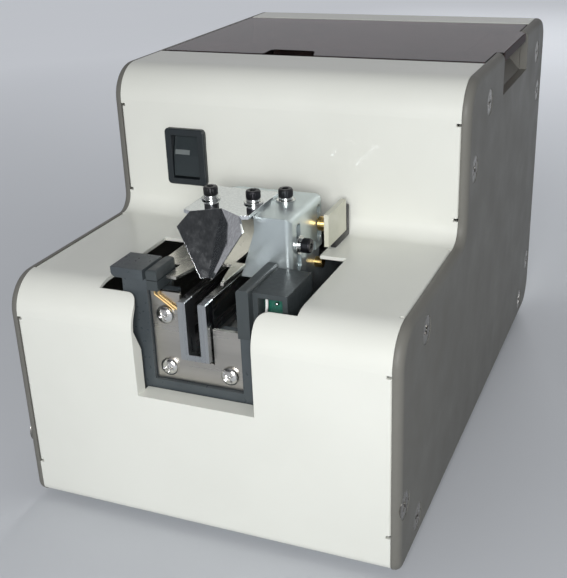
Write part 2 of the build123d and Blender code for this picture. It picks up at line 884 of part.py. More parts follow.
with BuildPart() as front_cover:
    with BuildSketch(across(-cover_half)):
        add(housing_outline(0))
        add(housing_outline(sheet), mode=Mode.SUBTRACT)
        add(
            span(front_y - cut_overrun, strip_end_y, cover_bottom, body_height + cut_overrun),
            mode=Mode.INTERSECT,
        )
    extrude(amount=2 * cover_half)
    for side in (-cover_half, cover_half - sheet):
        with BuildSketch(across(side)):
            add(span(front_y, front_y + flange_depth, *front_stretch))
            add(span(*shelf_stretch, shelf_height - flange_depth, shelf_height))
            add(span(riser_y, riser_y + flange_depth, *riser_stretch))
            add(span(*top_stretch, body_height - top_flange_depth, body_height))
        extrude(amount=sheet)
    for side in (-cover_half, cover_half - relief_length):
        with BuildSketch(across(side)):
            for z in (front_stretch[0] - relief_width, front_stretch[1]):
                add(span(front_y - cut_overrun, front_y + sheet, z, z + relief_width))
            for y in (shelf_stretch[0] - relief_width, shelf_stretch[1]):
                add(span(y, y + relief_width, shelf_height - sheet, shelf_height + cut_overrun))
            for z in (riser_stretch[0] - relief_width, riser_stretch[1]):
                add(span(riser_y - cut_overrun, riser_y + sheet, z, z + relief_width))
        extrude(amount=relief_length, mode=Mode.SUBTRACT)
    front_wall = front_cover.faces().sort_by(Axis.Y)[0]
    level_faces = front_cover.faces().filter_by(Axis.Z)
    shelf_wall = level_faces.sort_by_distance(Vector(0, shelf_stretch[0], shelf_height))[0]
    upright_faces = front_cover.faces().filter_by(Axis.Y)
    riser_wall = upright_faces.sort_by_distance(Vector(0, riser_y, riser_stretch[0]))[0]
    fillet(
        bend_edges(front_wall, Axis.Z) + bend_edges(shelf_wall, Axis.Y) + bend_edges(riser_wall, Axis.Z),
        bend_radius,
    )
    # Window through the front, the nose and the shelf, back to the riser
    with BuildSketch(facing(front_y - cut_overrun)):
        add(span(window_left, window_right, window_bottom, shelf_height))
    extrude(amount=-(sheet + 2 * cut_overrun), mode=Mode.SUBTRACT)
    with BuildSketch(level(shelf_height - nose_radius)) as shelf_window:
        with BuildLine():
            Polyline(
                (window_left, front_y - cut_overrun),
                (window_left, shelf_window_front),
                (shelf_window_left, shelf_window_front),
                (shelf_window_left, shelf_window_back),
                (rail_window_left, shelf_window_back),
                (rail_window_left, riser_y + sheet),
                (rail_window_right, riser_y + sheet),
                (rail_window_right, shelf_window_back),
                (shelf_window_right, shelf_window_back),
                (shelf_window_right, shelf_window_front),
                (window_right, shelf_window_front),
                (window_right, front_y - cut_overrun),
                close=True,
            )
        make_face()
        turns = shelf_window.vertices().sort_by_distance(Vector(window_left, shelf_window_front))[:1]
        turns += shelf_window.vertices().sort_by_distance(Vector(window_right, shelf_window_front))[:1]
        fillet(turns, window_corner_radius)
    extrude(amount=rail_window_top - shelf_height + nose_radius, mode=Mode.SUBTRACT)
    # Lips folded inwards round the front window
    for low in (window_left - sheet, window_right):
        with BuildSketch(across(low)):
            add(
                outline(
                    (front_y + sheet, window_bottom - sheet),
                    (front_y + lip_side_depth, window_bottom - sheet),
                    (front_y + lip_side_depth, window_turn_height),
                    (front_y + sheet, shelf_height - nose_radius),
                )
            )
        extrude(amount=sheet)
    with BuildSketch(level(window_bottom - sheet)):
        add(span(window_left, window_right, front_y + sheet, front_y + lip_bottom_depth))
    extrude(amount=sheet)
    # Openings for the switch and the side screws
    with BuildSketch(facing(riser_y - cut_overrun)):
        add(
            span(
                switch_x - switch_body_width / 2 - seat_gap,
                switch_x + switch_body_width / 2 + seat_gap,
                switch_z - switch_body_height / 2 - seat_gap,
                switch_z + switch_body_height / 2 + seat_gap,
            )
        )
    extrude(amount=-(sheet + 2 * cut_overrun), mode=Mode.SUBTRACT)
    with BuildSketch(across(-cover_half)):
        for y, z in side_screw_places:
            if y < strip_end_y and z > foot_height + base_flange_height:
                with Locations((y, z)):
                    Circle(side_screw_radius)
    extrude(amount=2 * cover_half, mode=Mode.SUBTRACT)
front_cover.part.label = "front_cover"
export_step(front_cover.part, "parts/front_cover.step")

# Rear cover: bent sheet from the rear strip of the top down the back
with BuildPart() as rear_cover:
    with BuildSketch(across(-cover_half)):
        add(housing_outline(0))
        add(housing_outline(sheet), mode=Mode.SUBTRACT)
        add(
            span(
                rear_strip_y - cut_overrun,
                base_back + seat_gap,
                foot_height - cut_overrun,
                body_height - sheet - cut_overrun,
            ),
            mode=Mode.SUBTRACT,
        )
        add(
            span(rear_strip_y, back_y, foot_height, body_height),
            mode=Mode.INTERSECT,
        )
    extrude(amount=2 * cover_half)
    for side in (-cover_half, cover_half - sheet):
        with BuildSketch(across(side)):
            add(housing_outline(0))
            add(
                span(
                    rear_strip_y - cut_overrun,
                    back_y - top_flange_depth,
                    foot_height - cut_overrun,
                    body_height - top_flange_depth,
                ),
                mode=Mode.SUBTRACT,
            )
            add(
                span(rear_strip_y, back_y, foot_height + relief_front_low, body_height),
                mode=Mode.INTERSECT,
            )
        extrude(amount=sheet)
    with BuildSketch(facing(back_y + cut_overrun)):
        with Locations((inlet_x, inlet_z)):
            Circle(inlet_radius + seat_gap)
    extrude(amount=sheet + 2 * cut_overrun, mode=Mode.SUBTRACT)
    with BuildSketch(across(-cover_half)):
        for y, z in side_screw_places:
            if y > rear_strip_y and z > foot_height + base_flange_height:
                with Locations((y, z)):
                    Circle(side_screw_radius)
    extrude(amount=2 * cover_half, mode=Mode.SUBTRACT)
rear_cover.part.label = "rear_cover"
export_step(rear_cover.part, "parts/rear_cover.step")

# Lid: clear plate, hinged at its rounded rear edge, with a tab over the finger scoop
tab_front = scoop_front + tab_clearance
tab_back = scoop_back - tab_taper

with BuildPart() as lid:
    with BuildSketch(level(lid_low)):
        with BuildLine():
            Polyline(
                (-lid_half, lid_front),
                (lid_notch_left, lid_front),
                (lid_notch_left, lid_front + lid_notch_depth),
                (lid_notch_right, lid_front + lid_notch_depth),
                (lid_notch_right, lid_front),
                (lid_half, lid_front),
                (lid_half, tab_front),
                (body_half, tab_front),
                (body_half, tab_back),
                (lid_half, tab_back + tab_taper - tab_clearance),
                (lid_half, hinge_y),
                (-lid_half, hinge_y),
                close=True,
            )
        make_face()
    extrude(amount=lid_thickness)
    fillet(
        lid.edges().filter_by(Axis.Z).group_by(Axis.Y)[0].sort_by(Axis.X)[0::3],
        lid_corner_radius,
    )
    with BuildSketch(across(-lid_half)):
        with Locations((hinge_y, hinge_z)):
            Circle(lid_thickness / 2)
    extrude(amount=2 * lid_half)
    with BuildSketch(across(-lid_half)):
        with Locations((hinge_y, hinge_z)):
            Circle(lid_pin_radius + running_gap)
    lid_bore = lid_pin_length - lid_pin_seat
    extrude(amount=lid_bore, mode=Mode.SUBTRACT)
    with BuildSketch(across(lid_half - lid_bore)):
        with Locations((hinge_y, hinge_z)):
            Circle(lid_pin_radius + running_gap)
    extrude(amount=lid_bore, mode=Mode.SUBTRACT)
lid.part.label = "lid"
export_step(lid.part, "parts/lid.step")

with BuildPart() as lid_pins:
    for low in (-panel_inner - lid_pin_seat, panel_inner + lid_pin_seat - lid_pin_length):
        with BuildSketch(across(low)):
            with Locations((hinge_y, hinge_z)):
                Circle(lid_pin_radius)
        extrude(amount=lid_pin_length)
lid_pins.part.label = "lid_pins"
export_step(lid_pins.part, "parts/lid_pins.step")

# Finger scoop: sloped sheet behind the recess in the right panel
scoop_top = lid_low - seat_gap
scoop_inner = cover_half - (scoop_top - scoop_low) / scoop_slope

with BuildPart() as finger_scoop:
    with BuildSketch(facing(scoop_front - sheet)):
        add(
            outline(
                (cover_half, scoop_low - scoop_flange),
                (cover_half, scoop_low),
                (scoop_inner, scoop_top),
                (scoop_inner - sheet, scoop_top),
                (cover_half - sheet, scoop_low - sheet),
                (cover_half - sheet, scoop_low - scoop_flange),
            )
        )
    extrude(amount=-(scoop_length + 2 * sheet))
    for low in (scoop_front - sheet, scoop_back):
        with BuildSketch(facing(low)):
            add(outline((cover_half, scoop_low), (cover_half, scoop_top), (scoop_inner, scoop_top)))
        extrude(amount=-sheet)
finger_scoop.part.label = "finger_scoop"
export_step(finger_scoop.part, "parts/finger_scoop.step")

# Rocker switch: bezel with its body through the riser, and the rocker on two side pins
with BuildPart() as switch_bezel:
    with BuildSketch(facing(riser_y)) as bezel_face:
        with Locations((switch_x, switch_z)):
            RectangleRounded(switch_width, switch_height, switch_corner_radius)
    extrude(amount=switch_face)
    fillet(switch_bezel.faces().sort_by(Axis.Y)[0].edges(), switch_edge_radius)
    with BuildSketch(facing(riser_y)):
        with Locations((switch_x, switch_z)):
            Rectangle(switch_body_width, switch_body_height)
    extrude(amount=-switch_body_depth)
    with BuildSketch(facing(riser_y - switch_face)):
        with Locations((switch_x, switch_z)):
            Rectangle(rocker_width + 2 * rocker_gap, rocker_height + 2 * rocker_swing_room)
    extrude(amount=-(switch_face + switch_cavity_depth), mode=Mode.SUBTRACT)
    with BuildSketch(across(switch_x - rocker_width / 2 - rocker_pin_reach - rocker_gap)):
        with Locations((riser_y + rocker_pivot_depth, switch_z)):
            Circle(rocker_pin_radius + running_gap)
    extrude(amount=rocker_width + 2 * (rocker_pin_reach + rocker_gap), mode=Mode.SUBTRACT)
    for z in (-terminal_pitch, 0, terminal_pitch):
        with BuildSketch(facing(riser_y + switch_body_depth)):
            with Locations((switch_x, switch_z + z)):
                Rectangle(terminal_width, terminal_thickness)
        extrude(amount=-terminal_length)
switch_bezel.part.label = "switch_bezel"
export_step(switch_bezel.part, "parts/switch_bezel.step")

rocker_plane = Plane(
    origin=(switch_x - rocker_width / 2, riser_y + rocker_pivot_depth, switch_z),
    x_dir=(0, cos(radians(rocker_tilt)), -sin(radians(rocker_tilt))),
    z_dir=(1, 0, 0),
)
rocker_end = rocker_height / 2

with BuildPart() as switch_rocker:
    with BuildSketch(rocker_plane):
        add(
            outline(
                (-rocker_crown, 0),
                (-rocker_end_rise, rocker_end),
                (rocker_back_edge, rocker_end),
                (rocker_depth, rocker_end * rocker_heel_share),
                (rocker_depth, -rocker_end * rocker_heel_share),
                (rocker_back_edge, -rocker_end),
                (-rocker_end_rise, -rocker_end),
            )
        )
    extrude(amount=rocker_width)
    with BuildSketch(rocker_plane.offset(-rocker_pin_reach)):
        Circle(rocker_pin_radius)
    extrude(amount=rocker_width + 2 * rocker_pin_reach)
switch_rocker.part.label = "switch_rocker"
export_step(switch_rocker.part, "parts/switch_rocker.step")

# Rail: two bars with a slot between them, and the pick-up block at their front end
with BuildPart() as pickup_block:
    with BuildSketch(facing(block_front)):
        add(span(rail_x - rail_half, rail_x + rail_half, rail_bottom - block_floor, rail_top))
        add(
            span(rail_x - slot_width / 2, rail_x + slot_width / 2, rail_bottom, rail_top),
            mode=Mode.SUBTRACT,
        )
    extrude(amount=-block_length)
    chamfer(pickup_block.edges().filter_by(Axis.Y).group_by(Axis.Z)[-1], block_chamfer)
pickup_block.part.label = "pickup_block"
export_step(pickup_block.part, "parts/pickup_block.step")

with BuildPart() as screw_rail:
    with BuildSketch(facing(block_back)):
        for low in (rail_x - rail_half, rail_x + slot_width / 2):
            add(span(low, low + rail_width, rail_bottom, rail_top))
    extrude(amount=-(rail_back - block_back))
screw_rail.part.label = "screw_rail"
export_step(screw_rail.part, "parts/screw_rail.step")

with BuildPart() as rail_base:
    with BuildSketch(facing(rail_base_front)):
        add(
            span(
                rail_x - rail_base_width / 2,
                rail_x + rail_base_width / 2,
                rail_base_bottom,
                rail_bottom,
            )
        )
    extrude(amount=-(rail_base_back - rail_base_front))
rail_base.part.label = "rail_base"
export_step(rail_base.part, "parts/rail_base.step")

# Two leaf springs carry the rail, clamped to a block on the base and to the rail base
leaf_low = floor + spring_block_height - clamp_height - leaf_top_inset
leaf_high = rail_base_bottom + leaf_top_inset + clamp_height
leaf_left = rail_x - leaf_width / 2
leaf_right = rail_x + leaf_width / 2

with BuildPart() as spring_blocks:
    with BuildSketch(level(floor)):
        for low in (rail_base_front, rail_base_back - spring_block_length):
            add(
                span(
                    rail_x - rail_base_width / 2,
                    rail_x + rail_base_width / 2,
                    low,
                    low + spring_block_length,
                )
            )
    extrude(amount=spring_block_height)
spring_blocks.part.label = "spring_blocks"
export_step(spring_blocks.part, "parts/spring_blocks.step")

with BuildPart() as leaf_springs:
    for low in (rail_base_front - leaf_thickness, rail_base_back):
        with BuildSketch(facing(low)):
            add(span(leaf_left, leaf_right, leaf_low, leaf_high))
        extrude(amount=-leaf_thickness)
leaf_springs.part.label = "leaf_springs"
export_step(leaf_springs.part, "parts/leaf_springs.step")


def spring_clamps(bottom):
    """Two clamp plates, each with two screw heads, pressing the leaves to their seats."""
    middle = bottom + clamp_height / 2
    sides = (
        (rail_base_front - leaf_thickness, clamp_thickness),
        (rail_base_back + leaf_thickness, -clamp_thickness),
    )
    with BuildPart() as clamps:
        for seat, step in sides:
            with BuildSketch(facing(seat)):
                add(span(leaf_left, leaf_right, bottom, bottom + clamp_height))
            extrude(amount=step)
            with BuildSketch(facing(seat - step)):
                with Locations((rail_x - clamp_screw_step, middle), (rail_x + clamp_screw_step, middle)):
                    RegularPolygon(clamp_screw_radius, 6)
            extrude(amount=step)
    return clamps.part


with BuildPart() as rail_clamps:
    add(spring_clamps(rail_base_bottom + leaf_top_inset))
rail_clamps.part.label = "rail_clamps"
export_step(rail_clamps.part, "parts/rail_clamps.step")

with BuildPart() as base_clamps:
    add(spring_clamps(leaf_low))
base_clamps.part.label = "base_clamps"
export_step(base_clamps.part, "parts/base_clamps.step")

# Vibration motor under the rail, with its clamp and its half-round weight
vibrator_z = rail_base_bottom - vibrator_drop
vibrator_left = rail_x - vibrator_length / 2
vibrator_right = rail_x + vibrator_length / 2

with BuildPart() as vibration_motor:
    with BuildSketch(across(vibrator_left)):
        with Locations((vibrator_y, vibrator_z)):
            Circle(vibrator_radius)
    extrude(amount=vibrator_length)
    chamfer(vibration_motor.edges().filter_by(GeomType.CIRCLE), foot_chamfer)
    with BuildSketch(across(vibrator_right)):
        with Locations((vibrator_y, vibrator_z)):
            Circle(vibrator_shaft_radius + running_gap)
    extrude(amount=-vibrator_bore_depth, mode=Mode.SUBTRACT)
vibration_motor.part.label = "vibration_motor"
export_step(vibration_motor.part, "parts/vibration_motor.step")

with BuildPart() as motor_clamp:
    with BuildSketch(across(rail_x - clamp_ring_width / 2)):
        with Locations((vibrator_y, vibrator_z)):
            Circle(vibrator_radius + clamp_ring_wall)
        add(
            span(
                vibrator_y - vibrator_radius - clamp_ring_wall,
                vibrator_y + vibrator_radius + clamp_ring_wall,
                vibrator_z,
                rail_base_bottom,
            )
        )
        add(
            span(
                vibrator_y - vibrator_radius - clamp_ring_wall,
                vibrator_y + vibrator_radius + clamp_ring_wall,
                vibrator_z - vibrator_radius - clamp_ring_wall,
                rail_base_bottom,
            ),
            mode=Mode.INTERSECT,
        )
        with Locations((vibrator_y, vibrator_z)):
            Circle(vibrator_radius, mode=Mode.SUBTRACT)
    extrude(amount=clamp_ring_width)
motor_clamp.part.label = "motor_clamp"
export_step(motor_clamp.part, "parts/motor_clamp.step")

with BuildPart() as vibrator_shaft:
    with BuildSketch(across(vibrator_right - vibrator_bore_depth + seat_gap)):
        with Locations((vibrator_y, vibrator_z)):
            Circle(vibrator_shaft_radius)
    extrude(amount=vibrator_bore_depth + vibrator_shaft_length)
vibrator_shaft.part.label = "vibrator_shaft"
export_step(vibrator_shaft.part, "parts/vibrator_shaft.step")

with BuildPart() as eccentric_weight:
    with BuildSketch(across(vibrator_right + weight_offset)):
        with Locations((vibrator_y, vibrator_z)):
            Circle(weight_radius)
        add(
            span(
                vibrator_y - weight_radius,
                vibrator_y + weight_radius,
                vibrator_z,
                vibrator_z + weight_radius,
            ),
            mode=Mode.SUBTRACT,
        )
        with Locations((vibrator_y, vibrator_z)):
            Circle(weight_hub_radius)
            Circle(vibrator_shaft_radius, mode=Mode.SUBTRACT)
    extrude(amount=weight_thickness)
eccentric_weight.part.label = "eccentric_weight"
export_step(eccentric_weight.part, "parts/eccentric_weight.step")

# Dark frame in the window: two uprights and a web with a pocket for the steel plate
plate_front = frame_back - frame_web - plate_thickness
rail_room_left = rail_x - rail_half - frame_rail_room
rail_room_right = rail_x + rail_half + frame_rail_room
notch_bottom = rail_bottom - block_floor - plate_notch_drop

with BuildPart() as pickup_frame:
    with BuildSketch(facing(frame_back)):
        add(span(frame_left, frame_pocket_left, frame_bottom, frame_left_top))
        add(span(frame_left, frame_right, frame_bottom, frame_right_top))
        add(span(frame_pocket_left, rail_room_left, frame_bottom, plate_left_top))
        add(
            span(rail_room_left, rail_room_right, notch_bottom - frame_rail_room, body_height),
            mode=Mode.SUBTRACT,
        )
    extrude(amount=frame_back - frame_front)
    with BuildSketch(facing(frame_front)):
        add(span(frame_pocket_left, frame_pocket_right, frame_sill, frame_left_top))
    extrude(amount=-(frame_back - frame_front - frame_web), mode=Mode.SUBTRACT)
    with BuildSketch(level(frame_left_top)):
        add(span(head_left, head_right, head_front, head_back))
    extrude(amount=head_height)
    head_corner = Vector(head_left, head_back, frame_left_top)
    fillet(pickup_frame.edges().filter_by(Axis.Y).sort_by_distance(head_corner)[0], head_radius)
    for x, z in plate_screw_places:
        with Locations(Plane(origin=(x, frame_back - frame_web, z), x_dir=(1, 0, 0), z_dir=(0, -1, 0))):
            Hole(cap_shank_radius, frame_web)
pickup_frame.part.label = "pickup_frame"
export_step(pickup_frame.part, "parts/pickup_frame.step")

with BuildPart() as pickup_plate:
    with BuildSketch(facing(plate_front)):
        add(
            span(
                frame_pocket_left + plate_gap,
                rail_x - rail_half - plate_notch_gap,
                frame_sill + seat_gap,
                plate_left_top,
            )
        )
        add(
            span(
                rail_x + rail_half + plate_notch_gap,
                frame_pocket_right - plate_gap,
                frame_sill + seat_gap,
                plate_right_top,
            )
        )
        add(
            span(
                frame_pocket_left + plate_gap,
                frame_pocket_right - plate_gap,
                frame_sill + seat_gap,
                notch_bottom,
            )
        )
    extrude(amount=-plate_thickness)
    for x, z in plate_screw_places:
        with Locations(Plane(origin=(x, plate_front, z), x_dir=(1, 0, 0), z_dir=(0, -1, 0))):
            Hole(cap_shank_radius, plate_thickness)
pickup_plate.part.label = "pickup_plate"
export_step(pickup_plate.part, "parts/pickup_plate.step")

pan = pan_screw(pan_shank_length)

pan_seats = [
    Plane(origin=(x, plate_front, z), x_dir=(1, 0, 0), z_dir=(0, -1, 0))
    for x, z in plate_screw_places
]

with BuildPart() as plate_screws:
    with Locations(*pan_seats):
        add(pan)
plate_screws.part.label = "plate_screws"
export_step(plate_screws.part, "parts/plate_screws.step")

# Light gate: two emitter bars with bare leads at the left, a holder with a board at the right
emitter_left = frame_pocket_left + seat_gap
emitter_top = frame_left_top + head_height

with BuildPart() as light_emitters:
    for step in (0, emitter_step):
        with BuildSketch(level(emitter_top - emitter_height - step)):
            add(
                span(
                    emitter_left,
                    emitter_left + emitter_width,
                    emitter_front,
                    emitter_back - emitter_width / 2,
                )
            )
            with Locations((emitter_left + emitter_width / 2, emitter_back - emitter_width / 2)):
                Circle(emitter_width / 2)
        extrude(amount=emitter_height)
    fillet(light_emitters.edges().group_by(Axis.Z)[-1], emitter_edge_radius)
light_emitters.part.label = "light_emitters"
export_step(light_emitters.part, "parts/light_emitters.step")

lead_start = Vector(
    emitter_left + emitter_width / 2,
    plate_front - lead_radius - seat_gap,
    emitter_top - emitter_height - emitter_step,
)

with BuildPart() as emitter_leads:
    for step in (0, lead_pitch):
        with BuildLine():
            lead = Polyline(
                lead_start + Vector(step, 0, 0),
                lead_start + Vector(step, 0, -lead_pitch),
                lead_start + Vector(step + lead_run, 0, -lead_pitch - lead_fall),
            )
        with BuildSketch(Plane(origin=lead @ 0, z_dir=lead % 0)):
            Circle(lead_radius)
        sweep(transition=Transition.RIGHT)
emitter_leads.part.label = "emitter_leads"
export_step(emitter_leads.part, "parts/emitter_leads.step")

with BuildPart() as light_receiver:
    with BuildSketch(level(receiver_bottom)):
        add(span(receiver_left, receiver_right, receiver_front, receiver_back))
    extrude(amount=receiver_top - receiver_bottom)
    with BuildSketch(level(receiver_bottom)):
        add(span(receiver_left, receiver_left + receiver_ridge_width, receiver_ridge_front, receiver_back))
    extrude(amount=receiver_top + receiver_ridge_rise - receiver_bottom)
    ridge = light_receiver.faces().sort_by(Axis.Z)[-1].edges().filter_by(Axis.Y)
    fillet(ridge, receiver_ridge_rise * ridge_round_share)
    with BuildSketch(facing(receiver_front)):
        add(
            span(
                receiver_left + receiver_ridge_width + receiver_pocket_margin,
                receiver_right - receiver_pocket_margin,
                receiver_bottom + receiver_pocket_margin,
                receiver_top - receiver_pocket_margin,
            )
        )
    extrude(amount=-receiver_pocket_depth, mode=Mode.SUBTRACT)
light_receiver.part.label = "light_receiver"
export_step(light_receiver.part, "parts/light_receiver.step")

with BuildPart() as receiver_board:
    with BuildSketch(facing(receiver_front + receiver_pocket_depth - gate_board_thickness)):
        add(
            span(
                receiver_left + receiver_ridge_width + receiver_pocket_margin + seat_gap,
                receiver_right - receiver_pocket_margin - seat_gap,
                receiver_bottom + receiver_pocket_margin + seat_gap,
                receiver_top - receiver_pocket_margin - seat_gap,
            )
        )
    extrude(amount=-gate_board_thickness)
receiver_board.part.label = "receiver_board"
export_step(receiver_board.part, "parts/receiver_board.step")

# Inner frames on both sides of the rail, standing on the base
inner_right_outer = bracket_outer_x - bracket_sheet - running_gap
inner_right_inner = inner_right_outer - inner_sheet
inner_left_inner = rail_cover_left
inner_left_outer = inner_left_inner - inner_sheet

with BuildPart() as inner_frame_left:
    with BuildSketch(across(inner_left_outer)):
        add(span(frame_back, inner_back, floor, inner_height))
    extrude(amount=inner_sheet)
    with BuildSketch(level(floor)):
        add(span(inner_left_outer - inner_foot_width, inner_left_outer, frame_back, inner_back))
    extrude(amount=inner_sheet)
inner_frame_left.part.label = "inner_frame_left"
export_step(inner_frame_left.part, "parts/inner_frame_left.step")

with BuildPart() as inner_frame_right:
    with BuildSketch(across(inner_right_inner)):
        add(span(frame_back, inner_back, floor, inner_front_top))
        add(span(inner_tab_front, inner_back, floor, inner_height))
        add(span(inner_tab_front, inner_tab_back, floor, inner_tab_top))
    extrude(amount=inner_sheet)
    with BuildSketch(level(floor)):
        add(span(inner_right_outer, inner_right_outer + inner_foot_width, frame_back, inner_back))
    extrude(amount=inner_sheet)
    with BuildSketch(across(inner_right_inner)):
        with Locations((cheek_slot_y, cheek_screw_z), (spacer_y, spacer_high_z)):
            Circle(cap_shank_radius)
        with Locations((spacer_y, spacer_low_z)):
            Circle(spacer_shank_radius)
    extrude(amount=inner_sheet, mode=Mode.SUBTRACT)
inner_frame_right.part.label = "inner_frame_right"
export_step(inner_frame_right.part, "parts/inner_frame_right.step")

# Polished cover over the rail, notched round the pick-up point
with BuildPart() as rail_cover:
    with BuildSketch(level(rail_cover_bottom)):
        add(
            outline(
                (rail_cover_left, rail_cover_left_front),
                (rail_cover_tongue_left, rail_cover_left_front),
                (rail_cover_tongue_left, rail_cover_front),
                (rail_x - rail_cover_notch_half, rail_cover_front),
                (rail_x - rail_cover_notch_root_half, rail_cover_notch_back),
                (rail_x + rail_cover_notch_root_half, rail_cover_notch_back),
                (rail_x + rail_cover_notch_half, rail_cover_front),
                (rail_cover_right, rail_cover_front),
                (rail_cover_right, rail_cover_step),
                (rail_cover_rail_right, rail_cover_step),
                (rail_cover_rail_right, rail_cover_back),
                (rail_cover_left, rail_cover_back),
            )
        )
    extrude(amount=rail_cover_thickness)
    with BuildSketch(level(rail_cover_bottom)):
        add(
            span(
                rail_cover_left,
                rail_cover_left + rail_cover_thickness,
                rail_cover_left_front + rail_cover_flange_inset,
                rail_cover_flange_back,
            )
        )
    extrude(amount=-rail_cover_flange_drop)
rail_cover.part.label = "rail_cover"
export_step(rail_cover.part, "parts/rail_cover.step")

# Plated bracket: top plate with an arm over the rail, a flared face and a slotted cheek
bracket_low = bracket_top - bracket_sheet
bracket_inner_x = bracket_outer_x - bracket_sheet

with BuildPart() as guide_bracket:
    with BuildSketch(level(bracket_low)):
        add(span(bracket_face_left, bracket_outer_x, bracket_front, bracket_back))
        add(
            outline(
                (bracket_arm_left, bracket_arm_front),
                (bracket_face_left, bracket_arm_front),
                (bracket_face_left, bracket_back),
                (bracket_arm_left + bracket_arm_chamfer, bracket_back),
                (bracket_arm_left, bracket_back - bracket_arm_chamfer),
            )
        )
    extrude(amount=bracket_sheet)
    with BuildSketch(facing(bracket_front)):
        add(
            outline(
                (bracket_face_left, bracket_top),
                (bracket_face_left, bracket_face_shoulder),
                (bracket_face_foot_left, bracket_face_bottom),
                (bracket_outer_x, bracket_face_bottom),
                (bracket_outer_x, bracket_top),
            )
        )
    extrude(amount=-bracket_sheet)
    with BuildSketch(across(bracket_inner_x)):
        add(span(bracket_front, bracket_back, cheek_rear_bottom, bracket_top))
        add(span(bracket_front, cheek_notch_front, cheek_bottom, bracket_top))
        add(
            span(cheek_notch_front, cheek_notch_back, cheek_rear_bottom - cut_overrun, cheek_notch_top),
            mode=Mode.SUBTRACT,
        )
        add(slot_area(cheek_slot_y, cheek_slot_low, cheek_slot_high, cheek_slot_width), mode=Mode.SUBTRACT)
        add(slot_area(spacer_slot_y, spacer_slot_low, spacer_slot_high, cheek_slot_width), mode=Mode.SUBTRACT)
    extrude(amount=bracket_sheet)
    bend_corner = Vector(bracket_outer_x, bracket_front, bracket_top)
    top_bend = guide_bracket.edges().filter_by(Axis.Y).sort_by_distance(bend_corner)[0]
    side_bend = guide_bracket.edges().filter_by(Axis.Z).sort_by_distance(bend_corner)[0]
    fillet([top_bend, side_bend], bracket_bend_radius)
    with BuildSketch(level(bracket_low)):
        with Locations(
            (rail_x - guide_slot_step, guide_slot_y),
            (rail_x + guide_slot_step, guide_slot_y),
            (bracket_screw_x, bracket_screw_y),
        ):
            Circle(cap_shank_radius)
    extrude(amount=bracket_sheet, mode=Mode.SUBTRACT)
guide_bracket.part.label = "guide_bracket"
export_step(guide_bracket.part, "parts/guide_bracket.step")

# Bit guide: slotted plate with a V trough that narrows to a tip over the pick-up block
guide_low = bracket_top + running_gap
guide_top = guide_low + guide_sheet
crease_high = Vector(rail_x, guide_crease_top_y, guide_top)
crease_tip = Vector(rail_x, guide_crease_tip_y, guide_tip_z)
wing_high = crease_high + Vector(guide_half, -guide_rake * guide_half, 0)
wing_tip = crease_tip + Vector(guide_spread_tip, -guide_rake * guide_spread_tip, 0)
wing_fall = (guide_crease_tip_y - guide_crease_top_y) * guide_corner_drop / (guide_tip_z - guide_top)
wing_corner = wing_high + Vector(0, -wing_fall, -guide_corner_drop)
wing_cut = wing_high - Vector(guide_corner_cut, -guide_rake * guide_corner_cut, 0)
wing_plane = Plane(
    origin=crease_high,
    x_dir=wing_high - crease_high,
    z_dir=(crease_tip - crease_high).cross(wing_high - crease_high),
)

with BuildPart() as bit_guide:
    with BuildSketch(wing_plane):
        places = (crease_high, crease_tip, wing_tip, wing_corner, wing_cut)
        add(outline(*[(wing_plane.to_local_coords(p).X, wing_plane.to_local_coords(p).Y) for p in places]))
    extrude(amount=guide_wall, dir=(0, 1, 0))
    mirror(about=across(rail_x))
    with BuildSketch(level(guide_low)):
        add(
            outline(
                (rail_x - guide_half, guide_back),
                (rail_x + guide_half, guide_back),
                (rail_x + guide_half, guide_crease_top_y - guide_rake * guide_half + guide_corner_cut),
                (wing_cut.X, wing_cut.Y),
                (rail_x, guide_crease_top_y),
                (2 * rail_x - wing_cut.X, wing_cut.Y),
                (rail_x - guide_half, guide_crease_top_y - guide_rake * guide_half + guide_corner_cut),
            )
        )
        for x in (rail_x - guide_slot_step, rail_x + guide_slot_step):
            add(
                slot_area(
                    x,
                    guide_slot_y - guide_slot_travel / 2 - guide_slot_width / 2,
                    guide_slot_y + guide_slot_travel / 2 + guide_slot_width / 2,
                    guide_slot_width,
                ),
                mode=Mode.SUBTRACT,
            )
    extrude(amount=guide_sheet)
bit_guide.part.label = "bit_guide"
export_step(bit_guide.part, "parts/bit_guide.step")

# Cap screws and washers on the bracket, and the one that clamps its cheek
cap = cap_screw(guide_screw_length)
flat_washer = ring(washer_radius, cap_shank_radius + running_gap, washer_thickness)
lock_washer = ring(lock_washer_radius, cap_shank_radius + running_gap, lock_washer_thickness)
stack = washer_thickness + lock_washer_thickness
guide_seats = (
    (rail_x - guide_slot_step, guide_slot_y, guide_top + running_gap),
    (rail_x + guide_slot_step, guide_slot_y, guide_top + running_gap),
    (bracket_screw_x, bracket_screw_y, bracket_top),
)

with BuildPart() as bracket_screws:
    with Locations(*[(x, y, z + stack) for x, y, z in guide_seats]):
        add(cap)
bracket_screws.part.label = "bracket_screws"
export_step(bracket_screws.part, "parts/bracket_screws.step")

with BuildPart() as bracket_washers:
    with Locations(*guide_seats):
        add(flat_washer)
    with Locations(*[(x, y, z + washer_thickness) for x, y, z in guide_seats]):
        add(lock_washer)
bracket_washers.part.label = "bracket_washers"
export_step(bracket_washers.part, "parts/bracket_washers.step")

cheek_cap = cap_screw(cheek_screw_length)
cheek_seat = bracket_outer_x + running_gap

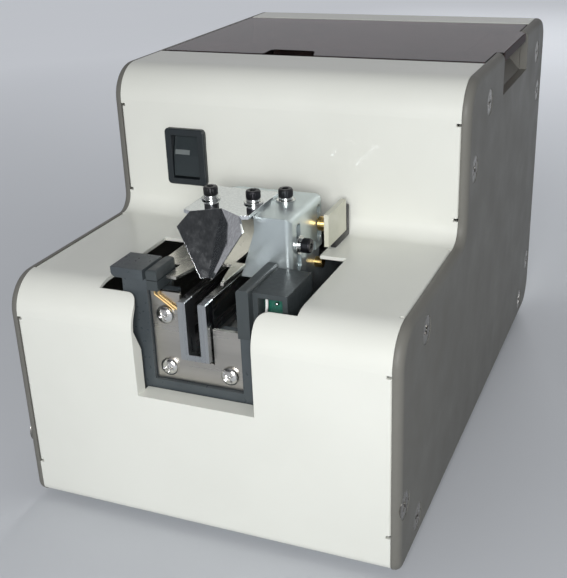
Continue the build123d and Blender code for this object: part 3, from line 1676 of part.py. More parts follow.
with BuildPart() as cheek_screw:
    with Locations(Plane(origin=(cheek_seat + stack, cheek_slot_y, cheek_screw_z), z_dir=(1, 0, 0))):
        add(cheek_cap)
    with Locations(Plane(origin=(cheek_seat, cheek_slot_y, cheek_screw_z), z_dir=(1, 0, 0))):
        add(flat_washer)
    with Locations(Plane(origin=(cheek_seat + washer_thickness, cheek_slot_y, cheek_screw_z), z_dir=(1, 0, 0))):
        add(lock_washer)
cheek_screw.part.label = "cheek_screw"
export_step(cheek_screw.part, "parts/cheek_screw.step")

# Small board on brass spacers beside the bracket
spacer_head_x = bracket_outer_x + spacer_cheek_gap
side_board_x = spacer_head_x + spacer_length

with BuildPart() as board_spacers:
    with BuildSketch(across(inner_right_inner)):
        with Locations((spacer_y, spacer_high_z)):
            Circle(spacer_shank_radius)
    extrude(amount=side_board_x - inner_right_inner)
    with BuildSketch(across(spacer_head_x)):
        with Locations((spacer_y, spacer_high_z)):
            Circle(spacer_head_radius)
    extrude(amount=spacer_length)
    with BuildSketch(across(inner_right_inner)):
        with Locations((spacer_y, spacer_low_z)):
            Circle(spacer_shank_radius)
    extrude(amount=inner_sheet)
    with BuildSketch(across(inner_right_outer)):
        with Locations((spacer_y, spacer_low_z)):
            Circle(spacer_low_radius)
    extrude(amount=spacer_low_length)
board_spacers.part.label = "board_spacers"
export_step(board_spacers.part, "parts/board_spacers.step")

with BuildPart() as side_board:
    with BuildSketch(across(side_board_x)):
        add(span(side_board_front, side_board_back, side_board_bottom, side_board_top))
    extrude(amount=side_board_thickness)
side_board.part.label = "side_board"
export_step(side_board.part, "parts/side_board.step")

# Brush bridge between the inner frames, its pin and the swinging brush
bridge_front = bridge_y - bridge_thickness / 2

with BuildPart() as brush_bridge:
    with BuildSketch(facing(bridge_front)):
        add(span(inner_left_inner, inner_right_inner, bridge_low, bridge_top))
        add(
            span(
                rail_x - bridge_arch_half,
                rail_x + bridge_arch_half,
                bridge_low - cut_overrun,
                bridge_arch_top,
            ),
            mode=Mode.SUBTRACT,
        )
        with Locations((rail_x, brush_pivot_z)):
            Circle(brush_pin_radius, mode=Mode.SUBTRACT)
    extrude(amount=-bridge_thickness)
    chamfer(brush_bridge.edges().filter_by(Axis.Y).group_by(Axis.Z)[-1], bridge_corner)
brush_bridge.part.label = "brush_bridge"
export_step(brush_bridge.part, "parts/brush_bridge.step")

brush_front = bridge_front - brush_pin_length
brush_depth = brush_pin_length - 2 * brush_gap

with BuildPart() as brush_pin:
    with BuildSketch(facing(bridge_front + bridge_thickness)):
        with Locations((rail_x, brush_pivot_z)):
            Circle(brush_pin_radius)
    extrude(amount=bridge_thickness + brush_pin_length)
    with BuildSketch(facing(brush_front)):
        with Locations((rail_x, brush_pivot_z)):
            Circle(brush_pin_head_radius)
    extrude(amount=brush_pin_head)
brush_pin.part.label = "brush_pin"
export_step(brush_pin.part, "parts/brush_pin.step")

brush_holder_top = brush_pivot_z - brush_arm_length
brush_holder_bottom = brush_pivot_z - brush_holder_drop

with BuildPart() as brush_holder:
    with BuildSketch(facing(brush_front + brush_gap)):
        with Locations((rail_x, brush_pivot_z)):
            Circle(brush_hub_radius)
        add(
            span(
                rail_x - brush_arm_half,
                rail_x + brush_arm_half,
                brush_holder_top - brush_gap,
                brush_pivot_z,
            )
        )
        add(
            span(
                rail_x - brush_holder_half,
                rail_x + brush_holder_half,
                brush_holder_bottom,
                brush_holder_top,
            )
        )
        with Locations((rail_x, brush_pivot_z)):
            Circle(brush_pin_radius + running_gap, mode=Mode.SUBTRACT)
    extrude(amount=-brush_depth)
brush_holder.part.label = "brush_holder"
export_step(brush_holder.part, "parts/brush_holder.step")

with BuildPart() as brush_tufts:
    with BuildSketch(level(brush_holder_bottom)):
        with Locations((rail_x, brush_front + brush_gap + brush_depth / 2)):
            with GridLocations(tuft_pitch, tuft_pitch, tuft_columns, tuft_rows):
                RegularPolygon(tuft_radius, tuft_sides)
    extrude(amount=-tuft_length)
brush_tufts.part.label = "brush_tufts"
export_step(brush_tufts.part, "parts/brush_tufts.step")

# Hopper tub: sloped sheet bowl, open to the drum at the back and to the rail at the front
with BuildPart() as hopper_tub:
    with BuildSketch(level(tub_bottom)):
        add(span(tub_bottom_left, tub_bottom_right, tub_bottom_front, tub_back))
    with BuildSketch(level(tub_top)):
        add(span(tub_top_left, tub_top_right, tub_top_front, tub_back))
    loft(ruled=True)
    offset(amount=-tub_wall, openings=hopper_tub.faces().sort_by(Axis.Z)[-1], kind=Kind.INTERSECTION)
    with BuildSketch(level(tub_top - tub_wall)):
        add(
            span(
                tub_top_left - tub_lip,
                tub_top_right,
                tub_top_front - tub_lip,
                tub_back,
            )
        )
        add(
            span(
                tub_top_left + tub_wall,
                tub_top_right - tub_wall,
                tub_top_front + tub_wall,
                tub_back - tub_wall,
            ),
            mode=Mode.SUBTRACT,
        )
    extrude(amount=tub_wall)
    with BuildSketch(facing(tub_back + cut_overrun)):
        with Locations((rail_x, drum_z)):
            Circle(tub_hole_radius)
    extrude(amount=tub_wall + 2 * cut_overrun, mode=Mode.SUBTRACT)
    with BuildSketch(facing(tub_bottom_front + cut_overrun)):
        add(span(rail_x - tub_rail_half, rail_x + tub_rail_half, tub_rail_low, tub_rail_high))
    extrude(amount=tub_bottom_front - tub_top_front + 2 * cut_overrun, mode=Mode.SUBTRACT)
hopper_tub.part.label = "hopper_tub"
export_step(hopper_tub.part, "parts/hopper_tub.step")

# Scooping drum: open cup with blades that lift the screws and let them fall on the rail
with BuildPart() as feed_drum:
    with BuildSketch(facing(drum_front)):
        with Locations((rail_x, drum_z)):
            Circle(drum_radius)
            Circle(drum_radius - drum_wall, mode=Mode.SUBTRACT)
    extrude(amount=-drum_depth)
    with BuildSketch(facing(drum_back - drum_disc)):
        with Locations((rail_x, drum_z)):
            Circle(drum_radius)
    extrude(amount=-drum_disc)
    with BuildSketch(facing(drum_back)):
        with Locations((rail_x, drum_z)):
            Circle(drum_hub_radius)
    extrude(amount=-drum_hub_length)
    with BuildSketch(facing(drum_back - drum_disc)):
        with Locations((rail_x, drum_z)):
            with PolarLocations(
                drum_radius - drum_wall - blade_depth / 2,
                blade_count,
                start_angle=180 / blade_count,
            ):
                Rectangle(blade_depth + drum_wall, blade_thickness, rotation=blade_lean)
        with Locations((rail_x, drum_z)):
            Circle(drum_radius, mode=Mode.INTERSECT)
    extrude(amount=blade_length)
    with BuildSketch(facing(drum_back - drum_disc)):
        with Locations((rail_x, drum_z)):
            Circle(shaft_radius)
    extrude(amount=-(drum_disc + drum_hub_length), mode=Mode.SUBTRACT)
feed_drum.part.label = "feed_drum"
export_step(feed_drum.part, "parts/feed_drum.step")

with BuildPart() as drum_shaft:
    with BuildSketch(facing(drum_back - drum_disc - shaft_stub)):
        with Locations((rail_x, drum_z)):
            Circle(shaft_radius)
    extrude(amount=-(shaft_stub + drum_disc + drum_hub_length + shaft_tail))
    chamfer(drum_shaft.edges().group_by(Axis.Y)[-1], foot_chamfer)
drum_shaft.part.label = "drum_shaft"
export_step(drum_shaft.part, "parts/drum_shaft.step")

# Ring gear on the drum and the pinion that turns it
with BuildPart() as ring_gear:
    with BuildSketch(facing(gear_front)):
        with Locations((rail_x, drum_z)):
            add(gear_outline(gear_teeth, gear_phase))
            Circle(drum_radius + running_gap, mode=Mode.SUBTRACT)
    extrude(amount=-gear_width)
ring_gear.part.label = "ring_gear"
export_step(ring_gear.part, "parts/ring_gear.step")

with BuildPart() as pinion:
    with BuildSketch(facing(gear_front - pinion_extra)):
        with Locations((rail_x, motor_z)):
            add(gear_outline(pinion_teeth, pinion_phase))
            Circle(motor_shaft_radius, mode=Mode.SUBTRACT)
    extrude(amount=-(gear_width + 2 * pinion_extra))
pinion.part.label = "pinion"
export_step(pinion.part, "parts/pinion.step")

# Gear motor, its bracket and its shaft
with BuildPart() as gear_motor:
    with BuildSketch(facing(motor_front_face)):
        with Locations((rail_x, motor_z)):
            Circle(gearbox_radius)
    extrude(amount=gearbox_length)
    with BuildSketch(facing(motor_front_face - gearbox_length)):
        with Locations((rail_x, motor_z)):
            Circle(motor_radius)
    extrude(amount=motor_length)
    with BuildSketch(facing(motor_front_face - gearbox_length - motor_length)):
        with Locations((rail_x, motor_z)):
            Circle(motor_cap_radius)
    extrude(amount=motor_cap_length)
    with BuildSketch(facing(motor_front_face)):
        with Locations((rail_x, motor_z)):
            Circle(motor_boss_radius)
    extrude(amount=-motor_boss_length)
    with BuildSketch(facing(motor_front_face + motor_boss_length)):
        with Locations((rail_x, motor_z)):
            Circle(motor_shaft_radius + running_gap)
    extrude(amount=motor_boss_length + motor_shaft_seat, mode=Mode.SUBTRACT)
gear_motor.part.label = "gear_motor"
export_step(gear_motor.part, "parts/gear_motor.step")

with BuildPart() as motor_shaft:
    with BuildSketch(facing(motor_front_face - motor_shaft_seat + seat_gap)):
        with Locations((rail_x, motor_z)):
            Circle(motor_shaft_radius)
    extrude(amount=-(gear_front + gear_width + pinion_extra - motor_front_face + motor_shaft_seat - seat_gap))
motor_shaft.part.label = "motor_shaft"
export_step(motor_shaft.part, "parts/motor_shaft.step")

with BuildPart() as motor_bracket:
    with BuildSketch(facing(motor_front_face)):
        add(
            span(
                rail_x - motor_plate_half,
                rail_x + motor_plate_half,
                floor,
                floor + motor_plate_height,
            )
        )
        with Locations((rail_x, motor_z)):
            Circle(motor_boss_radius, mode=Mode.SUBTRACT)
    extrude(amount=-motor_plate)
    with BuildSketch(level(floor)):
        add(
            span(
                rail_x - motor_plate_half,
                rail_x + motor_plate_half,
                motor_front_face - motor_foot,
                motor_front_face,
            )
        )
    extrude(amount=motor_plate)
motor_bracket.part.label = "motor_bracket"
export_step(motor_bracket.part, "parts/motor_bracket.step")

# Bearing stand behind the drum, with its bush and the clip that holds the shaft
stand_top = hood_top - sheet

with BuildPart() as bearing_stand:
    with BuildSketch(facing(stand_front)):
        add(
            outline(
                (rail_x - stand_foot_half, floor),
                (rail_x + stand_foot_half, floor),
                (rail_x + stand_top_half, stand_top),
                (rail_x - stand_top_half, stand_top),
            )
        )
        with Locations((rail_x, drum_z)):
            Circle(bush_radius, mode=Mode.SUBTRACT)
    extrude(amount=-stand_thickness)
    with BuildSketch(level(floor)):
        add(
            span(
                rail_x - stand_foot_half,
                rail_x + stand_foot_half,
                stand_front + stand_thickness - stand_foot,
                stand_front,
            )
        )
    extrude(amount=stand_thickness)
    with BuildSketch(level(stand_top)):
        add(
            span(
                rail_x - stand_top_half,
                rail_x + stand_top_half,
                stand_front + stand_thickness - stand_top_flange,
                stand_front,
            )
        )
    extrude(amount=-stand_top_sheet)
bearing_stand.part.label = "bearing_stand"
export_step(bearing_stand.part, "parts/bearing_stand.step")

with BuildPart() as drum_bush:
    with BuildSketch(facing(stand_front - bush_flange)):
        with Locations((rail_x, drum_z)):
            Circle(bush_flange_radius)
    extrude(amount=-bush_flange)
    with BuildSketch(facing(stand_front)):
        with Locations((rail_x, drum_z)):
            Circle(bush_radius)
    extrude(amount=-(bush_length - bush_flange))
    with BuildSketch(facing(stand_front - bush_flange)):
        with Locations((rail_x, drum_z)):
            Circle(shaft_radius + running_gap)
    extrude(amount=-bush_length, mode=Mode.SUBTRACT)
drum_bush.part.label = "drum_bush"
export_step(drum_bush.part, "parts/drum_bush.step")

with BuildPart() as shaft_clip:
    with BuildSketch(facing(stand_front - bush_flange + bush_length + clip_gap)):
        with Locations((rail_x, drum_z)):
            Circle(clip_radius)
            Circle(shaft_radius, mode=Mode.SUBTRACT)
        add(
            span(
                rail_x - clip_mouth / 2,
                rail_x + clip_mouth / 2,
                drum_z - clip_radius,
                drum_z - shaft_radius * clip_mouth_share,
            ),
            mode=Mode.SUBTRACT,
        )
    extrude(amount=-clip_thickness)
shaft_clip.part.label = "shaft_clip"
export_step(shaft_clip.part, "parts/shaft_clip.step")

# Hood over the drum, carried by the stand and the back wall of the tub
with BuildPart() as drum_hood:
    with BuildSketch(level(hood_top - sheet)):
        add(span(-hood_right, hood_right, tub_back, stand_front + stand_thickness))
    extrude(amount=sheet)
    with BuildSketch(level(hood_top)):
        for low in (-hood_right, hood_right - sheet):
            add(span(low, low + sheet, tub_back, stand_front + stand_thickness))
    extrude(amount=-hood_flange)
    with BuildSketch(level(hood_top)):
        add(span(-hood_right, hood_right, tub_back, tub_back + sheet))
    extrude(amount=tub_top - tub_wall - hood_top)
drum_hood.part.label = "drum_hood"
export_step(drum_hood.part, "parts/drum_hood.step")

# Control board on standoffs, with its components
board_low = floor + board_height

with BuildPart() as control_board:
    with BuildSketch(level(board_low)):
        add(span(board_left, board_right, board_front, board_back))
    extrude(amount=board_thickness)
control_board.part.label = "control_board"
export_step(control_board.part, "parts/control_board.step")

with BuildPart() as board_standoffs:
    with BuildSketch(level(floor)):
        with Locations(((board_left + board_right) / 2, (board_front + board_back) / 2)):
            with GridLocations(
                board_right - board_left - 2 * standoff_inset,
                board_back - board_front - 2 * standoff_inset,
                2,
                2,
            ):
                RegularPolygon(standoff_radius, 6)
    extrude(amount=board_height)
board_standoffs.part.label = "board_standoffs"
export_step(board_standoffs.part, "parts/board_standoffs.step")

board_high = board_low + board_thickness
board_middle_x = (board_left + board_right) / 2
board_middle_y = (board_front + board_back) / 2

with BuildPart() as board_components:
    with BuildSketch(level(board_high)):
        with Locations((board_middle_x, board_middle_y + capacitor_pitch)):
            with GridLocations(capacitor_pitch, capacitor_pitch, 2, 2):
                Circle(capacitor_radius)
    extrude(amount=capacitor_height)
    with BuildSketch(level(board_high)):
        with Locations((board_middle_x, board_middle_y - capacitor_pitch)):
            Rectangle(chip_size, chip_size)
    extrude(amount=chip_height)
    with BuildSketch(level(board_high)):
        with Locations(
            (board_middle_x, board_front + plug_width),
            (board_middle_x, board_back - plug_width),
        ):
            Rectangle(plug_length, plug_width)
    extrude(amount=plug_height)
board_components.part.label = "board_components"
export_step(board_components.part, "parts/board_components.step")

# Power inlet through the back, with its nut
inlet_face = back_y - inlet_recess

with BuildPart() as power_inlet:
    with BuildSketch(facing(inlet_face)):
        with Locations((inlet_x, inlet_z)):
            Circle(inlet_radius)
    extrude(amount=inlet_length)
    with BuildSketch(facing(inlet_face)):
        with Locations((inlet_x, inlet_z)):
            Circle(inlet_bore_radius)
    extrude(amount=inlet_bore_depth, mode=Mode.SUBTRACT)
    with BuildSketch(facing(inlet_face - inlet_bore_depth)):
        with Locations((inlet_x, inlet_z)):
            Circle(inlet_pin_radius)
    extrude(amount=-(inlet_bore_depth - inlet_pin_recess))
    with BuildSketch(facing(back_y - sheet)):
        with Locations((inlet_x, inlet_z)):
            RegularPolygon(inlet_nut_radius, 6)
            Circle(inlet_radius + running_gap, mode=Mode.SUBTRACT)
    extrude(amount=inlet_nut_thickness)
power_inlet.part.label = "power_inlet"
export_step(power_inlet.part, "parts/power_inlet.step")
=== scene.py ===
import math

import bmesh
import bpy
from mathutils import Matrix, Vector


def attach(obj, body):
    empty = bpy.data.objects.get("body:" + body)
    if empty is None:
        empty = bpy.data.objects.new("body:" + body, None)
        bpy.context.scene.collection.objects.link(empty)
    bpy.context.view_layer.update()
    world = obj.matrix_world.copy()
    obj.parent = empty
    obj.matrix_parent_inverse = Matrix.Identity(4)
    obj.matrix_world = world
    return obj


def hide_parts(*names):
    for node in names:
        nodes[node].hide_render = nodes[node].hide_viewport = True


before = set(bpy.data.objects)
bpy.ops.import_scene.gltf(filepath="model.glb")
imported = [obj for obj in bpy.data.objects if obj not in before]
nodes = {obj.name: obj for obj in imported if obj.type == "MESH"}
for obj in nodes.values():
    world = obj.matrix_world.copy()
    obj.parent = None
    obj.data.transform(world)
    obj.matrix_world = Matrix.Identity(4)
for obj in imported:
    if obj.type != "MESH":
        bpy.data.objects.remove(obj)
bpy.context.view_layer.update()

MM = 0.001
FULL_TURN = 2 * math.pi

# Sockets of the Mix node, which has several with the same name
MIX_FACTOR = 0
MIX_VALUES = (2, 3)
MIX_VALUE_RESULT = 0
MIX_COLOURS = (6, 7)
MIX_COLOUR_RESULT = 2

# Part of the noise values that a change of roughness uses
NOISE_REACH = (0.3, 0.7)


# Nodes
def math_node(tree, operation, first, second):
    """A math node; each value is a socket or a plain number."""
    node = tree.nodes.new("ShaderNodeMath")
    node.operation = operation
    for place, value in enumerate((first, second)):
        if isinstance(value, float):
            node.inputs[place].default_value = value
        else:
            tree.links.new(value, node.inputs[place])
    return node.outputs["Value"]


def remap(tree, value, low, high, start, end):
    """Goes from low to high as the value goes from start to end."""
    node = tree.nodes.new("ShaderNodeMapRange")
    node.inputs["From Min"].default_value = start
    node.inputs["From Max"].default_value = end
    node.inputs["To Min"].default_value = low
    node.inputs["To Max"].default_value = high
    tree.links.new(value, node.inputs["Value"])
    return node.outputs["Result"]


def mix_colours(tree, factor, first, second):
    """First where the factor is 0, second where it is 1; each is a colour or a socket."""
    node = tree.nodes.new("ShaderNodeMix")
    node.data_type = "RGBA"
    tree.links.new(factor, node.inputs[MIX_FACTOR])
    for place, colour in zip(MIX_COLOURS, (first, second)):
        if isinstance(colour, tuple):
            node.inputs[place].default_value = (*colour, 1.0)
        else:
            tree.links.new(colour, node.inputs[place])
    return node.outputs[MIX_COLOUR_RESULT]


# Materials
def material(name, colour, metallic=0.0, roughness=0.4, coat=0.0, coat_roughness=0.1):
    """A principled material; the plain values are set on the shader itself."""
    made = bpy.data.materials.new(name)
    made.use_nodes = True
    shader = made.node_tree.nodes["Principled BSDF"]
    shader.inputs["Base Color"].default_value = (*colour, 1.0)
    shader.inputs["Metallic"].default_value = metallic
    shader.inputs["Roughness"].default_value = roughness
    shader.inputs["Coat Weight"].default_value = coat
    shader.inputs["Coat Roughness"].default_value = coat_roughness
    return made


def shader_of(made):
    return made.node_tree.nodes["Principled BSDF"]


def noise_field(made, scale, stretch=(1.0, 1.0, 1.0), detail=4.0):
    """Noise in object space; scale is the number of features per metre."""
    tree = made.node_tree
    coords = tree.nodes.new("ShaderNodeTexCoord")
    mapping = tree.nodes.new("ShaderNodeMapping")
    mapping.inputs["Scale"].default_value = stretch
    noise = tree.nodes.new("ShaderNodeTexNoise")
    noise.inputs["Scale"].default_value = scale
    noise.inputs["Detail"].default_value = detail
    noise.inputs["Roughness"].default_value = 0.5
    tree.links.new(coords.outputs["Object"], mapping.inputs["Vector"])
    tree.links.new(mapping.outputs["Vector"], noise.inputs["Vector"])
    return noise.outputs["Fac"]


def colour_by(made, field, first, second, start=0.35, end=0.65):
    """Slow change of colour over the surface."""
    tree = made.node_tree
    factor = remap(tree, field, 0.0, 1.0, start, end)
    tree.links.new(mix_colours(tree, factor, first, second), shader_of(made).inputs["Base Color"])


def roughness_by(made, field, low, high):
    """Change of roughness over the surface."""
    tree = made.node_tree
    rough = remap(tree, field, low, high, *NOISE_REACH)
    tree.links.new(rough, shader_of(made).inputs["Roughness"])


def relief(made, field, depth, bevel=0.0):
    """Bump of the given depth in metres, over edges rounded by bevel metres."""
    tree = made.node_tree
    bump = tree.nodes.new("ShaderNodeBump")
    bump.inputs["Strength"].default_value = 1.0
    bump.inputs["Distance"].default_value = depth
    tree.links.new(field, bump.inputs["Height"])
    if bevel:
        edge = tree.nodes.new("ShaderNodeBevel")
        edge.samples = 4
        edge.inputs["Radius"].default_value = bevel
        tree.links.new(edge.outputs["Normal"], bump.inputs["Normal"])
    tree.links.new(bump.outputs["Normal"], shader_of(made).inputs["Normal"])


def painted(name, colour, second, roughness, peel, coat):
    """Sprayed enamel: orange peel of a depth in millimetres, and a slow change of tone."""
    made = material(name, colour, roughness=roughness, coat=coat, coat_roughness=0.08)
    colour_by(made, noise_field(made, 22.0, detail=3.0), colour, second)
    roughness_by(made, noise_field(made, 60.0), roughness - 0.05, roughness + 0.07)
    relief(made, noise_field(made, 1100.0, detail=2.0), peel * MM, bevel=0.25 * MM)
    return made


def brushed(name, colour, second, roughness, stretch, bevel=0.2):
    """Metal with fine scratches along one axis."""
    made = material(name, colour, metallic=1.0, roughness=roughness)
    colour_by(made, noise_field(made, 120.0, stretch), colour, second)
    roughness_by(made, noise_field(made, 400.0, stretch), roughness - 0.08, roughness + 0.12)
    relief(made, noise_field(made, 900.0, stretch, detail=6.0), 0.02 * MM, bevel=bevel * MM)
    return made


def polished(name, colour, roughness, wave):
    """Bright metal with faint hand-polishing waves of a depth in millimetres."""
    made = material(name, colour, metallic=1.0, roughness=roughness)
    roughness_by(made, noise_field(made, 500.0, detail=6.0), roughness - 0.02, roughness + 0.06)
    relief(made, noise_field(made, 260.0, detail=3.0), wave * MM, bevel=0.15 * MM)
    return made


def zinc(name, colour, second, smooth=0.28, dull=0.48):
    """Zinc plating: cold spangle over a satin metal."""
    made = material(name, colour, metallic=0.8, roughness=smooth)
    colour_by(made, noise_field(made, 180.0, detail=5.0), colour, second)
    roughness_by(made, noise_field(made, 420.0), smooth, dull)
    relief(made, noise_field(made, 1500.0), 0.01 * MM, bevel=0.2 * MM)
    return made


def moulded(name, colour, second, roughness, grain=0.02, scale=2200.0):
    """Moulded plastic with a fine grain of a depth in millimetres."""
    made = material(name, colour, roughness=roughness)
    colour_by(made, noise_field(made, 90.0), colour, second)
    roughness_by(made, noise_field(made, 700.0), roughness - 0.08, roughness + 0.08)
    relief(made, noise_field(made, scale, detail=5.0), grain * MM, bevel=0.2 * MM)
    return made


# Parts of a surface with a finish of their own, each between two corners in millimetres; the dark
# colour on the lid's edges is painted shade
ROCKER_DASH = ((-41.0, -40, 104.0), (-35.2, -20, 105.6))
LID_FRONT_EDGE = ((-200, -2, 0), (200, 0.9, 200))
LID_TAB_EDGE = ((64.4, 0, 0), (70, 100, 200))
SAWN_ROUGHNESS = 0.6


def inside_box(made, low, high):
    """1 inside a box given in millimetres in object space, 0 outside."""
    tree = made.node_tree
    coords = tree.nodes.new("ShaderNodeTexCoord")
    split = tree.nodes.new("ShaderNodeSeparateXYZ")
    tree.links.new(coords.outputs["Object"], split.inputs["Vector"])
    result = None
    for axis, least, most in zip("XYZ", low, high):
        for bound, operation in ((least, "GREATER_THAN"), (most, "LESS_THAN")):
            test = math_node(tree, operation, split.outputs[axis], bound * MM)
            result = test if result is None else math_node(tree, "MULTIPLY", result, test)
    return result


def overlay(made, mask, colour):
    """The colour over the changing base colour where the mask is 1."""
    tree = made.node_tree
    base = shader_of(made).inputs["Base Color"]
    tree.links.new(mix_colours(tree, mask, base.links[0].from_socket, colour), base)


def matt_where(made, mask, value):
    """Roughness of the given value where the mask is 1."""
    tree = made.node_tree
    rough = shader_of(made).inputs["Roughness"]
    first, second = MIX_VALUES
    mix = tree.nodes.new("ShaderNodeMix")
    tree.links.new(mask, mix.inputs[MIX_FACTOR])
    tree.links.new(rough.links[0].from_socket, mix.inputs[first])
    mix.inputs[second].default_value = value
    tree.links.new(mix.outputs[MIX_VALUE_RESULT], rough)


def smoked_lid():
    """Smoked acrylic: it tints what shows through it, and its sawn edges are matt, with painted
    shade on them: near black for the shadowed gap at the front edge, dark red at the tab.
    """
    made = material("smoked_acrylic", (0.40, 0.30, 0.30), roughness=0.06)
    shader = shader_of(made)
    shader.inputs["Transmission Weight"].default_value = 1.0
    shader.inputs["IOR"].default_value = 1.49
    clouds = noise_field(made, 18.0, detail=3.0)
    colour_by(made, clouds, (0.43, 0.31, 0.31), (0.37, 0.285, 0.285), 0.40, 0.62)
    roughness_by(made, noise_field(made, 300.0, detail=6.0), 0.03, 0.14)
    front_edge = inside_box(made, *LID_FRONT_EDGE)
    tab_edge = inside_box(made, *LID_TAB_EDGE)
    # The near-black edge colours are painted shade; the matt roughness is the sawn acrylic's own
    for edge, colour in ((front_edge, (0.02, 0.004, 0.004)), (tab_edge, (0.05, 0.004, 0.004))):
        overlay(made, edge, colour)
        matt_where(made, edge, SAWN_ROUGHNESS)
    relief(made, noise_field(made, 45.0, detail=2.0), 0.02 * MM)
    return made


def rocker_with_dash():
    """Rocker plastic with the pale dash near its top."""
    made = moulded("rocker_plastic", (0.022, 0.031, 0.034), (0.018, 0.025, 0.028), 0.36, 0.004)
    overlay(made, inside_box(made, *ROCKER_DASH), (0.16, 0.18, 0.18))
    return made


def scratched_chrome():
    """Mirror-bright metal of the bit guide, with fine upright scratches."""
    made = polished("polished_guide", (0.72, 0.74, 0.76), 0.05, 0.006)
    scratches = noise_field(made, 1500.0, (1.0, 1.0, 0.10), detail=6.0)
    colour_by(made, scratches, (0.66, 0.68, 0.70), (0.80, 0.82, 0.84), 0.40, 0.64)
    return made


# Noise stretched into scratches along an axis
ALONG_X = (0.05, 1.0, 1.0)
ALONG_Y = (1.0, 0.05, 1.0)
ALONG_Z = (1.0, 1.0, 0.05)

ivory = painted("ivory_enamel", (0.80, 0.81, 0.75), (0.77, 0.78, 0.72), 0.34, 0.012, 0.35)
grey = painted("warm_grey_enamel", (0.185, 0.181, 0.162), (0.170, 0.167, 0.150), 0.46, 0.014, 0.0)
shader_of(grey).inputs["Specular IOR Level"].default_value = 0.3
bright_screw = polished("nickel_screws", (0.80, 0.79, 0.77), 0.16, 0.01)
black_screw = brushed(
    "black_oxide_screws", (0.055, 0.055, 0.062), (0.085, 0.083, 0.085), 0.34, ALONG_Z, 0.12
)
panel_screw = polished("panel_screws", (0.30, 0.29, 0.27), 0.26, 0.008)
washer_metal = polished("zinc_washers", (0.66, 0.67, 0.66), 0.22, 0.01)
plate_steel = brushed("stainless_plate", (0.60, 0.575, 0.53), (0.50, 0.48, 0.44), 0.30, ALONG_X)
block_steel = brushed("ground_block", (0.52, 0.54, 0.55), (0.44, 0.46, 0.47), 0.26, ALONG_Z)
rail_steel = brushed("ground_rail", (0.50, 0.50, 0.50), (0.42, 0.42, 0.42), 0.24, ALONG_Y)
cover_steel = polished("polished_cover", (0.80, 0.77, 0.70), 0.22, 0.006)
guide_chrome = scratched_chrome()
zinc_plate = zinc("bright_zinc", (0.56, 0.63, 0.66), (0.50, 0.57, 0.60))
bracket_zinc = zinc("bracket_zinc", (0.62, 0.69, 0.70), (0.59, 0.66, 0.67), 0.29, 0.35)
sheet_steel = brushed("sheet_steel", (0.50, 0.50, 0.49), (0.43, 0.43, 0.42), 0.38, ALONG_X)
slate = moulded("slate_frame", (0.070, 0.083, 0.090), (0.057, 0.068, 0.075), 0.34, 0.005, 1600.0)
slate_plastic = moulded("slate_plastic", (0.052, 0.062, 0.065), (0.043, 0.052, 0.055), 0.38)
switch_plastic = moulded(
    "switch_plastic", (0.017, 0.023, 0.027), (0.014, 0.019, 0.022), 0.40, 0.004
)
rocker_plastic = rocker_with_dash()
wire_white = moulded("wire_sleeve", (0.78, 0.78, 0.76), (0.72, 0.72, 0.70), 0.45, 0.005)
black_plastic = moulded("black_plastic", (0.018, 0.018, 0.020), (0.012, 0.012, 0.014), 0.36)
rubber = moulded("rubber", (0.020, 0.020, 0.020), (0.030, 0.029, 0.028), 0.75, 0.04)
brass = polished("brass", (0.62, 0.42, 0.16), 0.28, 0.004)
gilt = polished("gilt_leads", (0.80, 0.58, 0.28), 0.34, 0.001)
bronze = polished("sintered_bronze", (0.48, 0.31, 0.16), 0.34, 0.02)
cream_board = moulded("cream_laminate", (0.70, 0.69, 0.58), (0.62, 0.62, 0.51), 0.40, 0.015)
green_board = moulded("green_laminate", (0.020, 0.130, 0.090), (0.016, 0.100, 0.070), 0.30, 0.015)
satin_aluminium = brushed("satin_aluminium", (0.68, 0.69, 0.70), (0.60, 0.61, 0.62), 0.34, ALONG_Y)
spring_metal = brushed("blued_spring", (0.16, 0.17, 0.21), (0.22, 0.21, 0.20), 0.30, ALONG_Z)
drum_plastic = moulded("natural_nylon", (0.62, 0.60, 0.53), (0.56, 0.54, 0.47), 0.44)
bristle = moulded("nylon_bristle", (0.03, 0.03, 0.03), (0.05, 0.05, 0.05), 0.5)
smoked = smoked_lid()

